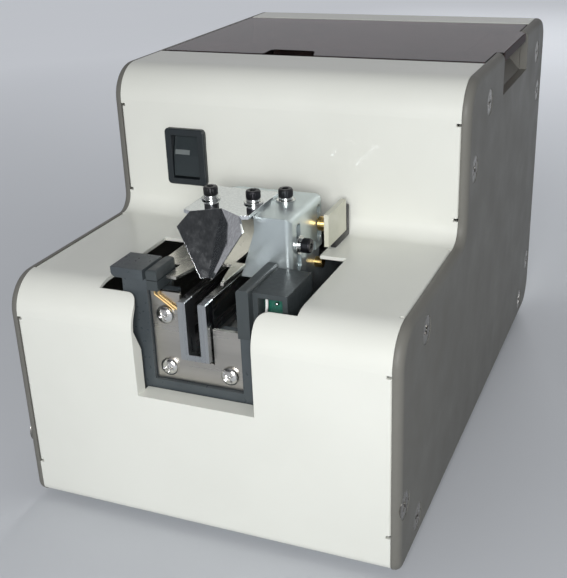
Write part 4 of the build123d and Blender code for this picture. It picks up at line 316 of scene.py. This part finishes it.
FINISHES = {
    "front_cover": ivory,
    "rear_cover": ivory,
    "side_panel_left": grey,
    "side_panel_right": grey,
    "finger_scoop": grey,
    "side_screws": bright_screw,
    "base_plate": zinc_plate,
    "rubber_feet": rubber,
    "lid": smoked,
    "lid_pins": bright_screw,
    "switch_bezel": switch_plastic,
    "switch_rocker": rocker_plastic,
    "pickup_block": block_steel,
    "screw_rail": rail_steel,
    "rail_base": satin_aluminium,
    "spring_blocks": satin_aluminium,
    "leaf_springs": spring_metal,
    "rail_clamps": zinc_plate,
    "base_clamps": zinc_plate,
    "vibration_motor": satin_aluminium,
    "motor_clamp": zinc_plate,
    "vibrator_shaft": bright_screw,
    "eccentric_weight": brass,
    "pickup_frame": slate,
    "pickup_plate": plate_steel,
    "plate_screws": bright_screw,
    "light_emitters": slate_plastic,
    "emitter_leads": gilt,
    "light_receiver": slate_plastic,
    "receiver_board": green_board,
    "inner_frame_left": zinc_plate,
    "inner_frame_right": zinc_plate,
    "rail_cover": cover_steel,
    "guide_bracket": bracket_zinc,
    "bit_guide": guide_chrome,
    "bracket_screws": black_screw,
    "bracket_washers": washer_metal,
    "cheek_screw": black_screw,
    "board_spacers": brass,
    "side_board": cream_board,
    "brush_bridge": zinc_plate,
    "brush_pin": bright_screw,
    "brush_holder": black_plastic,
    "brush_tufts": bristle,
    "hopper_tub": sheet_steel,
    "feed_drum": drum_plastic,
    "ring_gear": drum_plastic,
    "drum_shaft": bright_screw,
    "drum_bush": bronze,
    "shaft_clip": spring_metal,
    "pinion": brass,
    "motor_shaft": bright_screw,
    "gear_motor": satin_aluminium,
    "motor_bracket": zinc_plate,
    "bearing_stand": zinc_plate,
    "drum_hood": sheet_steel,
    "control_board": green_board,
    "board_standoffs": brass,
    "board_components": black_plastic,
    "power_inlet": black_plastic,
}

for name, finish in FINISHES.items():
    node = nodes[name]
    node.data.materials.clear()
    node.data.materials.append(finish)


# Objects
def add_object(name, data):
    made = bpy.data.objects.new(name, data)
    bpy.context.scene.collection.objects.link(made)
    return made


def piece_from(mesh, name, finishes, smooth_under=35.0):
    """An object from a finished mesh, smooth except at its sharp edges."""
    bmesh.ops.recalc_face_normals(mesh, faces=mesh.faces)
    limit = math.radians(smooth_under)
    for face in mesh.faces:
        face.smooth = True
    for edge in mesh.edges:
        if len(edge.link_faces) == 2 and edge.calc_face_angle(0.0) > limit:
            edge.smooth = False
    data = bpy.data.meshes.new(name)
    mesh.to_mesh(data)
    mesh.free()
    for finish in finishes:
        data.materials.append(finish)
    return add_object(name, data)


def seat(origin, outward, across):
    """Place of a fastener: Z outward, X along the given direction, in millimetres."""
    z = Vector(outward).normalized()
    x = Vector(across).normalized()
    y = z.cross(x)
    turn = Matrix((x, y, z)).transposed().to_4x4()
    return Matrix.Translation(Vector(origin) * MM) @ turn


def round_point(radius, angle, height):
    """Point at a radius and angle about Z, from millimetres."""
    return Vector((radius * math.cos(angle) * MM, radius * math.sin(angle) * MM, height * MM))


def join_rings(mesh, first, second):
    """Faces between two closed rings of corners; returned so that they can get a finish."""
    faces = []
    for step in range(len(first)):
        after = (step + 1) % len(first)
        corners = (first[step], first[after], second[after], second[step])
        faces.append(mesh.faces.new(corners))
    return faces


# Turned pieces that stand for the plain fasteners of the CAD model, in millimetres
ROUND_STEPS = 48
KNURL_DEPTH = 0.16
RECESS_POINT = 0.15
WASHER_EDGE_SHARE = 0.12


def cross_outline(half_length, half_width):
    """Edge of a cross recess: the angles of its corners, and its radius at an angle."""
    quarter = math.pi / 2
    diagonal = math.pi / 4
    tip = math.atan2(half_width, half_length)
    corners = [arm * quarter + turn for arm in range(4) for turn in (-tip, tip, diagonal)]

    def radius(angle):
        folded = abs((angle + diagonal) % quarter - diagonal)
        if folded <= tip + 1e-6:
            return half_length / math.cos(folded)
        return half_width / math.sin(folded)

    return corners, radius


def hexagon_outline(flat_radius):
    """Edge of a hexagon socket, as for the cross."""
    sixth = math.pi / 3
    corners = [side * sixth for side in range(6)]

    def radius(angle):
        return flat_radius / math.cos(angle % sixth - sixth / 2)

    return corners, radius


def turned(mesh, place, profile, outline, depth, taper, crown, teeth=0, knurled=()):
    """A turned solid about the place's Z, with a recess sunk into its crown.

    The profile runs from the bottom centre outwards and up, as radius and height. The crown is
    a function of the radius, and the knurled rings of the profile get teeth.
    """
    corners, recess = outline
    count = 2 * teeth if teeth else ROUND_STEPS
    angles = {round(step * FULL_TURN / count, 6) for step in range(count)}
    angles |= {round(corner % FULL_TURN, 6) for corner in corners}
    angles = sorted(angles)

    def ring(radii, heights):
        return [
            mesh.verts.new(place @ round_point(radius, angle, height))
            for radius, angle, height in zip(radii, angles, heights)
        ]

    rings = []
    for index, (radius, height) in enumerate(profile):
        radii = [radius] * len(angles)
        if index in knurled:
            radii = [radius - KNURL_DEPTH * (step % 2) for step in range(len(angles))]
        rings.append(ring(radii, [height] * len(angles)))
    edge = [recess(angle) for angle in angles]
    rings.append(ring(edge, [crown(radius) for radius in edge]))
    floor = crown(0.0) - depth
    rings.append(ring([radius * taper for radius in edge], [floor] * len(angles)))
    bottom = mesh.verts.new(place @ Vector((0, 0, profile[0][1] * MM)))
    top = mesh.verts.new(place @ Vector((0, 0, (floor - RECESS_POINT) * MM)))
    for low, high in zip(rings, rings[1:]):
        join_rings(mesh, low, high)
    for step in range(len(angles)):
        after = (step + 1) % len(angles)
        mesh.faces.new((rings[0][after], rings[0][step], bottom))
        mesh.faces.new((rings[-1][step], rings[-1][after], top))


def washer(mesh, place, outer, inner, low, high, split=0.0, rise=0.0, finish=0):
    """A flat ring between two heights, or a spring washer split by an angle, with a rise."""
    soft = WASHER_EDGE_SHARE * (high - low)
    section = [
        (inner, low),
        (outer - soft, low),
        (outer, low + soft),
        (outer, high - soft),
        (outer - soft, high),
        (inner, high),
    ]
    rings = []
    for index in range(ROUND_STEPS + (1 if split else 0)):
        angle = split / 2 + (FULL_TURN - split) * index / ROUND_STEPS
        lift = rise * (index / ROUND_STEPS - 0.5)
        points = [round_point(radius, angle, height + lift) for radius, height in section]
        rings.append([mesh.verts.new(place @ point) for point in points])
    pairs = list(zip(rings, rings[1:]))
    faces = []
    if split:
        faces.append(mesh.faces.new(rings[0]))
        faces.append(mesh.faces.new(list(reversed(rings[-1]))))
    else:
        pairs.append((rings[-1], rings[0]))
    for first, second in pairs:
        faces += join_rings(mesh, first, second)
    for face in faces:
        face.material_index = finish


# The side screws: their places in a panel as Y and Z, and their profile
SIDE_SCREW_PLACES = (
    (-81.7, 72.2),
    (-24.1, 104.0),
    (-4.3, 121.7),
    (-102.2, 24.6),
    (-87.8, 10.4),
    (99.1, 24.6),
    (84.7, 10.4),
    (90.0, 121.7),
    (97.7, 104.0),
)
SIDE_SCREW_PROFILE = (
    (1.6, -7.0),
    (2.0, -6.6),
    (2.0, -2.4),
    (4.36, -0.12),
    (4.4, -0.04),
    (4.34, 0.0),
    (2.6, 0.0),
)
SIDE_SCREW_FACE_X = 64.85
# Turn of the first cross in degrees, and how much further each next one is turned
SIDE_SCREW_TURN = 20
SIDE_SCREW_TURN_STEP = 37


def make_side_screws():
    """Countersunk cross-head screws, nine in each side panel."""
    mesh = bmesh.new()
    cross = cross_outline(2.25, 0.55)
    for side in (-1, 1):
        for index, (y, z) in enumerate(SIDE_SCREW_PLACES):
            turn = math.radians(SIDE_SCREW_TURN_STEP * index + SIDE_SCREW_TURN)
            place = seat((side * SIDE_SCREW_FACE_X, y, z), (side, 0, 0), (0, 1, 0))
            place = place @ Matrix.Rotation(turn, 4, "Z")
            turned(
                mesh, place, SIDE_SCREW_PROFILE, cross,
                depth=1.5, taper=0.42, crown=lambda radius: 0.0,
            )
    screws = piece_from(mesh, "side_screw_heads", [panel_screw])
    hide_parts("side_screws")
    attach(screws, "housing")


# The plate screws: X, Z and the turn in degrees of each, and the shape of their heads
PLATE_SCREWS = ((-12.4, 55.6, 8), (8.4, 55.6, 38), (-12.4, 73.4, 20))
PLATE_SCREW_SEAT_Y = -98.3
PLATE_SCREW_FOOT = ((1.2, -5.0), (1.5, -4.7), (1.5, 0.0), (3.0, 0.0), (3.0, 0.45))
DOME_RADII = (2.95, 2.8, 2.5, 2.2, 1.95)
DOME_START = 0.35
DOME_RISE = 1.65
DOME_EDGE_RADIUS = 3.05


def dome(radius):
    """Height of a plate screw's head at a radius."""
    return DOME_START + DOME_RISE * math.sqrt(max(0.0, 1.0 - (radius / DOME_EDGE_RADIUS) ** 2))


def make_plate_screws():
    """Domed cross-head screws of the pick-up plate."""
    mesh = bmesh.new()
    cross = cross_outline(1.75, 0.42)
    profile = [*PLATE_SCREW_FOOT, *((radius, dome(radius)) for radius in DOME_RADII)]
    for x, z, turn in PLATE_SCREWS:
        place = seat((x, PLATE_SCREW_SEAT_Y, z), (0, -1, 0), (1, 0, 0))
        place = place @ Matrix.Rotation(math.radians(turn), 4, "Z")
        turned(mesh, place, profile, cross, depth=1.1, taper=0.45, crown=dome)
    screws = piece_from(mesh, "plate_screw_heads", [bright_screw], 40.0)
    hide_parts("plate_screws")
    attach(screws, "housing")


# Cap screws: their heads, with the rings of the profile that are knurled
CAP_RADIUS = 2.35
CAP_HEIGHT = 2.7
CAP_TEETH = 24
CAP_KNURLED_RINGS = (4, 5)
# Their washers: outer radius, bore radius and the heights of both faces
PLAIN_WASHER = (3.1, 1.3, 0.0, 0.5)
SPRING_WASHER = (2.3, 1.3, 0.53, 1.37)
SPRING_WASHER_GAP = math.radians(9)
SPRING_WASHER_RISE = 0.10
ON_WASHERS = Matrix.Translation((0, 0, 1.4 * MM))
# Where they sit, and the lengths of their shanks
BRACKET_SEATS = ((-9.4, -69.2, 101.5), (5.4, -69.2, 101.5), (12.9, -61.0, 100.2))
BRACKET_SHANK = 6.0
CHEEK_SEAT = (21.25, -71.5, 90.0)
CHEEK_SHANK = 5.0
# Turns in radians of the first head and of the washers' gaps, and the step from gap to gap
HEAD_TURN = 0.3
GAP_TURN = 4.2
GAP_TURN_STEP = 1.7
CHEEK_GAP_TURN = 2.4


def cap_screw(mesh, place, length):
    """Knurled socket head cap screw seated at the place, with its shank behind it."""
    profile = [(1.0, -length), (1.25, 0.25 - length), (1.25, 0.0), (2.15, 0.0), (CAP_RADIUS, 0.2)]
    profile += [(CAP_RADIUS, 2.15), (2.30, 2.3), (2.1, 2.65), (1.95, CAP_HEIGHT), (1.5, CAP_HEIGHT)]
    turned(
        mesh, place, profile, hexagon_outline(1.05), depth=1.4, taper=0.98,
        crown=lambda radius: CAP_HEIGHT, teeth=CAP_TEETH, knurled=CAP_KNURLED_RINGS,
    )


def washer_stack(mesh, place, turn, finish=0):
    """Plain washer under a split spring washer, whose gap is turned by an angle."""
    washer(mesh, place, *PLAIN_WASHER, finish=finish)
    turned_place = place @ Matrix.Rotation(turn, 4, "Z")
    washer(
        mesh, turned_place, *SPRING_WASHER,
        split=SPRING_WASHER_GAP, rise=SPRING_WASHER_RISE, finish=finish,
    )


def make_bracket_screws():
    """Black cap screws on bright washers: two on the bit guide, one on the bracket."""
    caps = bmesh.new()
    rings = bmesh.new()
    for index, origin in enumerate(BRACKET_SEATS):
        place = seat(origin, (0, 0, 1), (1, 0, 0))
        lifted = place @ ON_WASHERS @ Matrix.Rotation(HEAD_TURN + index, 4, "Z")
        cap_screw(caps, lifted, BRACKET_SHANK)
        washer_stack(rings, place, GAP_TURN + GAP_TURN_STEP * index)
    heads = piece_from(caps, "bracket_cap_screws", [black_screw])
    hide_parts("bracket_screws")
    stacks = piece_from(rings, "bracket_spring_washers", [washer_metal])
    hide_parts("bracket_washers")
    for made in (heads, stacks):
        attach(made, "guide_bracket")


def make_cheek_screw():
    """Cap screw and washers that clamp the cheek of the bracket."""
    mesh = bmesh.new()
    place = seat(CHEEK_SEAT, (1, 0, 0), (0, 1, 0))
    washer_stack(mesh, place, CHEEK_GAP_TURN, finish=1)
    cap_screw(mesh, place @ ON_WASHERS, CHEEK_SHANK)
    screw = piece_from(mesh, "cheek_cap_screw", [black_screw, washer_metal])
    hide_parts("cheek_screw")
    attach(screw, "housing")


# What is cut off the lid: its front edge with the finger notch, as X and Y in millimetres
LID_CUT = (
    (-70, -5),
    (70, -5),
    (70, 0.7),
    (-0.2, 0.7),
    (-0.7, 1.3),
    (-2.7, 7.6),
    (-3.3, 8.6),
    (-4.3, 9.1),
    (-18.9, 9.6),
    (-20.0, 9.2),
    (-20.5, 8.3),
    (-20.5, 1.4),
    (-21.1, 0.7),
    (-70, 0.7),
)
LID_CUT_HEIGHTS = (125, 140)


def make_lid():
    """The lid with its finger notch cut through, and a clear gap along its front edge."""
    tool = bmesh.new()
    low, high = (
        [tool.verts.new((x * MM, y * MM, z * MM)) for x, y in LID_CUT] for z in LID_CUT_HEIGHTS
    )
    tool.faces.new(list(reversed(low)))
    tool.faces.new(high)
    join_rings(tool, low, high)
    cutter = piece_from(tool, "notch_cutter", [])
    whole = add_object("lid_whole", nodes["lid"].data.copy())
    cut = whole.modifiers.new("notch", "BOOLEAN")
    cut.operation = "DIFFERENCE"
    cut.solver = "EXACT"
    cut.object = cutter
    evaluated = whole.evaluated_get(bpy.context.evaluated_depsgraph_get())
    shaped = bpy.data.meshes.new_from_object(evaluated)
    for helper in (whole, cutter):
        bpy.data.objects.remove(helper)
    shaped.name = "smoked_lid_plate"
    plate = add_object("smoked_lid_plate", shaped)
    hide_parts("lid")
    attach(plate, "lid")


# Small trim, in millimetres
# The strip bars are painted shade: black bars where the riser's opening lies in shadow
STRIP_BARS = (
    ((23.7, -50.5, 81.6), (25.7, -36.9, 84.0)),
    ((23.7, -39.5, 83.6), (25.7, -36.9, 92.5)),
)
STRIP_ROUNDING = 0.25
WIRE_ROUTE = ((19.9, -94.0, 73.5), (19.7, -94.9, 76.2), (20.1, -95.0, 79.2), (19.8, -94.1, 81.8))
WIRE_RADIUS = 0.45
BEAD_ROUTE = ((22.6, -93.7, 79.6), (22.9, -94.2, 79.9), (23.3, -93.7, 80.1))
BEAD_RADIUS = 0.5
TUBE_SIDES = 10
CURVE_STEPS = 6


def block(mesh, low, high, soft):
    """A bar with rounded edges, between two corners."""
    made = bmesh.ops.create_cube(mesh, size=1.0)
    size = [(b - a) * MM for a, b in zip(low, high)]
    middle = [(a + b) / 2 * MM for a, b in zip(low, high)]
    for vertex in made["verts"]:
        vertex.co = Vector([m + s * c for m, s, c in zip(middle, size, vertex.co)])
    edges = list({edge for vertex in made["verts"] for edge in vertex.link_edges})
    bmesh.ops.bevel(mesh, geom=edges, offset=soft * MM, segments=2, affect="EDGES", profile=0.5)


def make_shade_strip():
    """Black bars under and behind the cream board: painted shade that stands for the dark opening
    of the riser behind it.
    """
    mesh = bmesh.new()
    for low, high in STRIP_BARS:
        block(mesh, low, high, STRIP_ROUNDING)
    strip = piece_from(mesh, "painted_shade_strip", [black_plastic])
    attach(strip, "housing")


def tube(mesh, points, radius, finish=0):
    """A round wire through the points, with closed ends."""
    rings = []
    side = None
    for index, point in enumerate(points):
        before = Vector(points[max(index - 1, 0)])
        after = Vector(points[min(index + 1, len(points) - 1)])
        along = (after - before).normalized()
        side = along.orthogonal() if side is None else side - along * side.dot(along)
        side = side.normalized()
        other = along.cross(side)
        ring = []
        for step in range(TUBE_SIDES):
            angle = FULL_TURN * step / TUBE_SIDES
            offset = (side * math.cos(angle) + other * math.sin(angle)) * radius
            ring.append(mesh.verts.new((Vector(point) + offset) * MM))
        rings.append(ring)
    faces = [mesh.faces.new(list(reversed(rings[0]))), mesh.faces.new(rings[-1])]
    for first, second in zip(rings, rings[1:]):
        faces += join_rings(mesh, first, second)
    for face in faces:
        face.material_index = finish


def between(before, start, end, after, t):
    """Catmull-Rom value at t on the way from start to end, for one coordinate."""
    linear = (end - before) * t
    square = (2 * before - 5 * start + 4 * end - after) * t * t
    cube = (3 * start - before - 3 * end + after) * t ** 3
    return 0.5 * (2 * start + linear + square + cube)


def curve_through(points):
    """Smooth line of points through the given ones."""
    ends = [points[0], *points, points[-1]]
    line = []
    for four in zip(ends, ends[1:], ends[2:], ends[3:]):
        for step in range(CURVE_STEPS):
            t = step / CURVE_STEPS
            line.append(tuple(between(*values, t) for values in zip(*four)))
    return line + [points[-1]]


def make_sensor_wire():
    """White wire soldered to the board in the light receiver, with its solder bead."""
    mesh = bmesh.new()
    tube(mesh, curve_through(WIRE_ROUTE), WIRE_RADIUS)
    tube(mesh, curve_through(BEAD_ROUTE), BEAD_RADIUS, finish=1)
    wire = piece_from(mesh, "sensor_wire", [wire_white, washer_metal])
    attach(wire, "housing")


# The floor: its half width in metres, and the glow with which it fades into the backdrop
FLOOR_HALF = 3.0
FLOOR_TONES = ((0.60, 0.62, 0.65), (0.57, 0.59, 0.62))
GLOW_TONE = (0.97, 1.0, 1.06, 1.0)
GLOW_STRENGTHS = (0.02, 0.38)
GLOW_DISTANCES = (0.10, 0.8)


def seen_ray(tree):
    """1 for a ray from the camera, a mirror or glass, 0 for soft light."""
    path = tree.nodes.new("ShaderNodeLightPath")
    gloss = math_node(
        tree, "MAXIMUM", path.outputs["Is Camera Ray"], path.outputs["Is Glossy Ray"]
    )
    return math_node(tree, "MAXIMUM", gloss, path.outputs["Is Transmission Ray"])


def pale_floor():
    """Pale floor that takes the shadows near the object and fades into the pale backdrop."""
    made = material("pale_floor", FLOOR_TONES[0], roughness=0.95)
    shader = shader_of(made)
    shader.inputs["Specular IOR Level"].default_value = 0.1
    colour_by(made, noise_field(made, 3.0, detail=2.0), *FLOOR_TONES)
    tree = made.node_tree
    coords = tree.nodes.new("ShaderNodeTexCoord")
    length = tree.nodes.new("ShaderNodeVectorMath")
    length.operation = "LENGTH"
    tree.links.new(coords.outputs["Object"], length.inputs[0])
    glow = remap(tree, length.outputs["Value"], *GLOW_STRENGTHS, *GLOW_DISTANCES)
    strength = math_node(tree, "MULTIPLY", glow, seen_ray(tree))
    shader.inputs["Emission Color"].default_value = GLOW_TONE
    tree.links.new(strength, shader.inputs["Emission Strength"])
    return made


def make_floor():
    """A square floor under the object."""
    mesh = bpy.data.meshes.new("floor")
    signs = ((-1, -1), (1, -1), (1, 1), (-1, 1))
    corners = [(x * FLOOR_HALF, y * FLOOR_HALF, 0) for x, y in signs]
    mesh.from_pydata(corners, [], [(0, 1, 2, 3)])
    mesh.materials.append(pale_floor())
    floor = add_object("floor", mesh)


# Colours of the world that the camera, mirrors and glass see
ROOM_TONE = (0.05, 0.052, 0.055)
HORIZON_TONE = (0.54, 0.56, 0.59)
BACKDROP_TONE = (0.37, 0.37, 0.385)
CEILING_TONE = (0.30, 0.30, 0.31)
# Colours of its soft light
SKY_TONE = (0.17, 0.175, 0.185)
REAR_TONE = (0.62, 0.63, 0.65)
# Where each change of colour starts and ends along an axis of the ray's direction
FRONT_TO_BACK = (-0.25, 0.35)
HORIZON_TO_BACKDROP = (0.0, 0.13)
BACKDROP_TO_ROOM = (0.22, 0.45)
ROOM_TO_CEILING = (0.72, 0.97)
SIDE_TO_REAR = (0.1, 0.7)
LOW_TO_SKY = (0.35, 0.7)
REARWARD = (-0.72, 0.69, 0.0)


def world_ramp(tree, value, reach, below, above):
    """Colour that goes from below to above as the value goes through its reach."""
    return mix_colours(tree, remap(tree, value, 0.0, 1.0, *reach), below, above)


def make_world():
    """A pale backdrop all round, a dim room high up in front, and soft grey light."""
    world = bpy.data.worlds.new("studio")
    bpy.context.scene.world = world
    world.use_nodes = True
    tree = world.node_tree
    tree.nodes.clear()
    output = tree.nodes.new("ShaderNodeOutputWorld")
    coords = tree.nodes.new("ShaderNodeTexCoord")
    split = tree.nodes.new("ShaderNodeSeparateXYZ")
    tree.links.new(coords.outputs["Generated"], split.inputs["Vector"])
    height = split.outputs["Z"]

    around = world_ramp(tree, split.outputs["Y"], FRONT_TO_BACK, ROOM_TONE, BACKDROP_TONE)
    low = world_ramp(tree, height, HORIZON_TO_BACKDROP, HORIZON_TONE, BACKDROP_TONE)
    raised = world_ramp(tree, height, BACKDROP_TO_ROOM, low, around)
    above = world_ramp(tree, height, ROOM_TO_CEILING, raised, CEILING_TONE)
    seen = tree.nodes.new("ShaderNodeBackground")
    tree.links.new(above, seen.inputs["Color"])

    rearward = tree.nodes.new("ShaderNodeVectorMath")
    rearward.operation = "DOT_PRODUCT"
    rearward.inputs[1].default_value = REARWARD
    tree.links.new(coords.outputs["Generated"], rearward.inputs[0])
    low_light = world_ramp(tree, rearward.outputs["Value"], SIDE_TO_REAR, SKY_TONE, REAR_TONE)
    light = world_ramp(tree, height, LOW_TO_SKY, low_light, SKY_TONE)
    soft = tree.nodes.new("ShaderNodeBackground")
    tree.links.new(light, soft.inputs["Color"])

    mix = tree.nodes.new("ShaderNodeMixShader")
    tree.links.new(seen_ray(tree), mix.inputs["Fac"])
    tree.links.new(soft.outputs["Background"], mix.inputs[1])
    tree.links.new(seen.outputs["Background"], mix.inputs[2])
    tree.links.new(mix.outputs["Shader"], output.inputs["Surface"])


def area_lamp(name, place, target, size, power, spread):
    """A soft square lamp at a place, turned to a target; the spread is its beam's full angle."""
    data = bpy.data.lights.new(name, "AREA")
    data.size = size
    data.energy = power
    data.spread = math.radians(spread)
    lamp = add_object(name, data)
    lamp.location = place
    lamp.rotation_euler = (Vector(target) - Vector(place)).to_track_quat("-Z", "Y").to_euler()
    lamp.visible_camera = False
    return lamp


def make_lamps():
    """A soft lamp at the front right, and one behind the object that leaves no glare."""
    area_lamp("key", (0.18, -0.54, 0.26), (0.0, -0.05, 0.085), size=0.20, power=0.72, spread=95.0)
    back = area_lamp(
        "back_fill", (-0.10, 1.25, 0.34), (0.0, 0.08, 0.10), size=0.40, power=1.2, spread=60.0
    )
    back.visible_glossy = False
    back.visible_transmission = False


# The photograph's viewpoint in the row frame, in metres, and its lens in pixels
CAMERA_PLACE = (0.12958, -0.33387, 0.19975)
CAMERA_FORWARD = (-0.36538, 0.83973, -0.40169)
CAMERA_ROLL = math.radians(-2.29)
FOCAL_PIXELS = 982.1
FRAME_PIXELS = 578
SENSOR_WIDTH = 36.0
NEAREST_SEEN = 0.01


def make_camera():
    """Camera at the photograph's viewpoint."""
    data = bpy.data.cameras.new("camera")
    data.sensor_width = SENSOR_WIDTH
    data.lens = FOCAL_PIXELS / FRAME_PIXELS * SENSOR_WIDTH
    data.clip_start = NEAREST_SEEN
    camera = add_object("camera", data)
    aim = Vector(CAMERA_FORWARD).to_track_quat("-Z", "Y").to_matrix()
    turn = aim @ Matrix.Rotation(CAMERA_ROLL, 3, "Z")
    camera.matrix_world = Matrix.Translation(Vector(CAMERA_PLACE)) @ turn.to_4x4()
    bpy.context.scene.camera = camera


make_side_screws()
make_plate_screws()
make_bracket_screws()
make_cheek_screw()
make_lid()
make_shade_strip()
make_sensor_wire()
make_floor()
make_world()
make_lamps()
make_camera()

scene = bpy.context.scene
scene.view_settings.view_transform = "Standard"
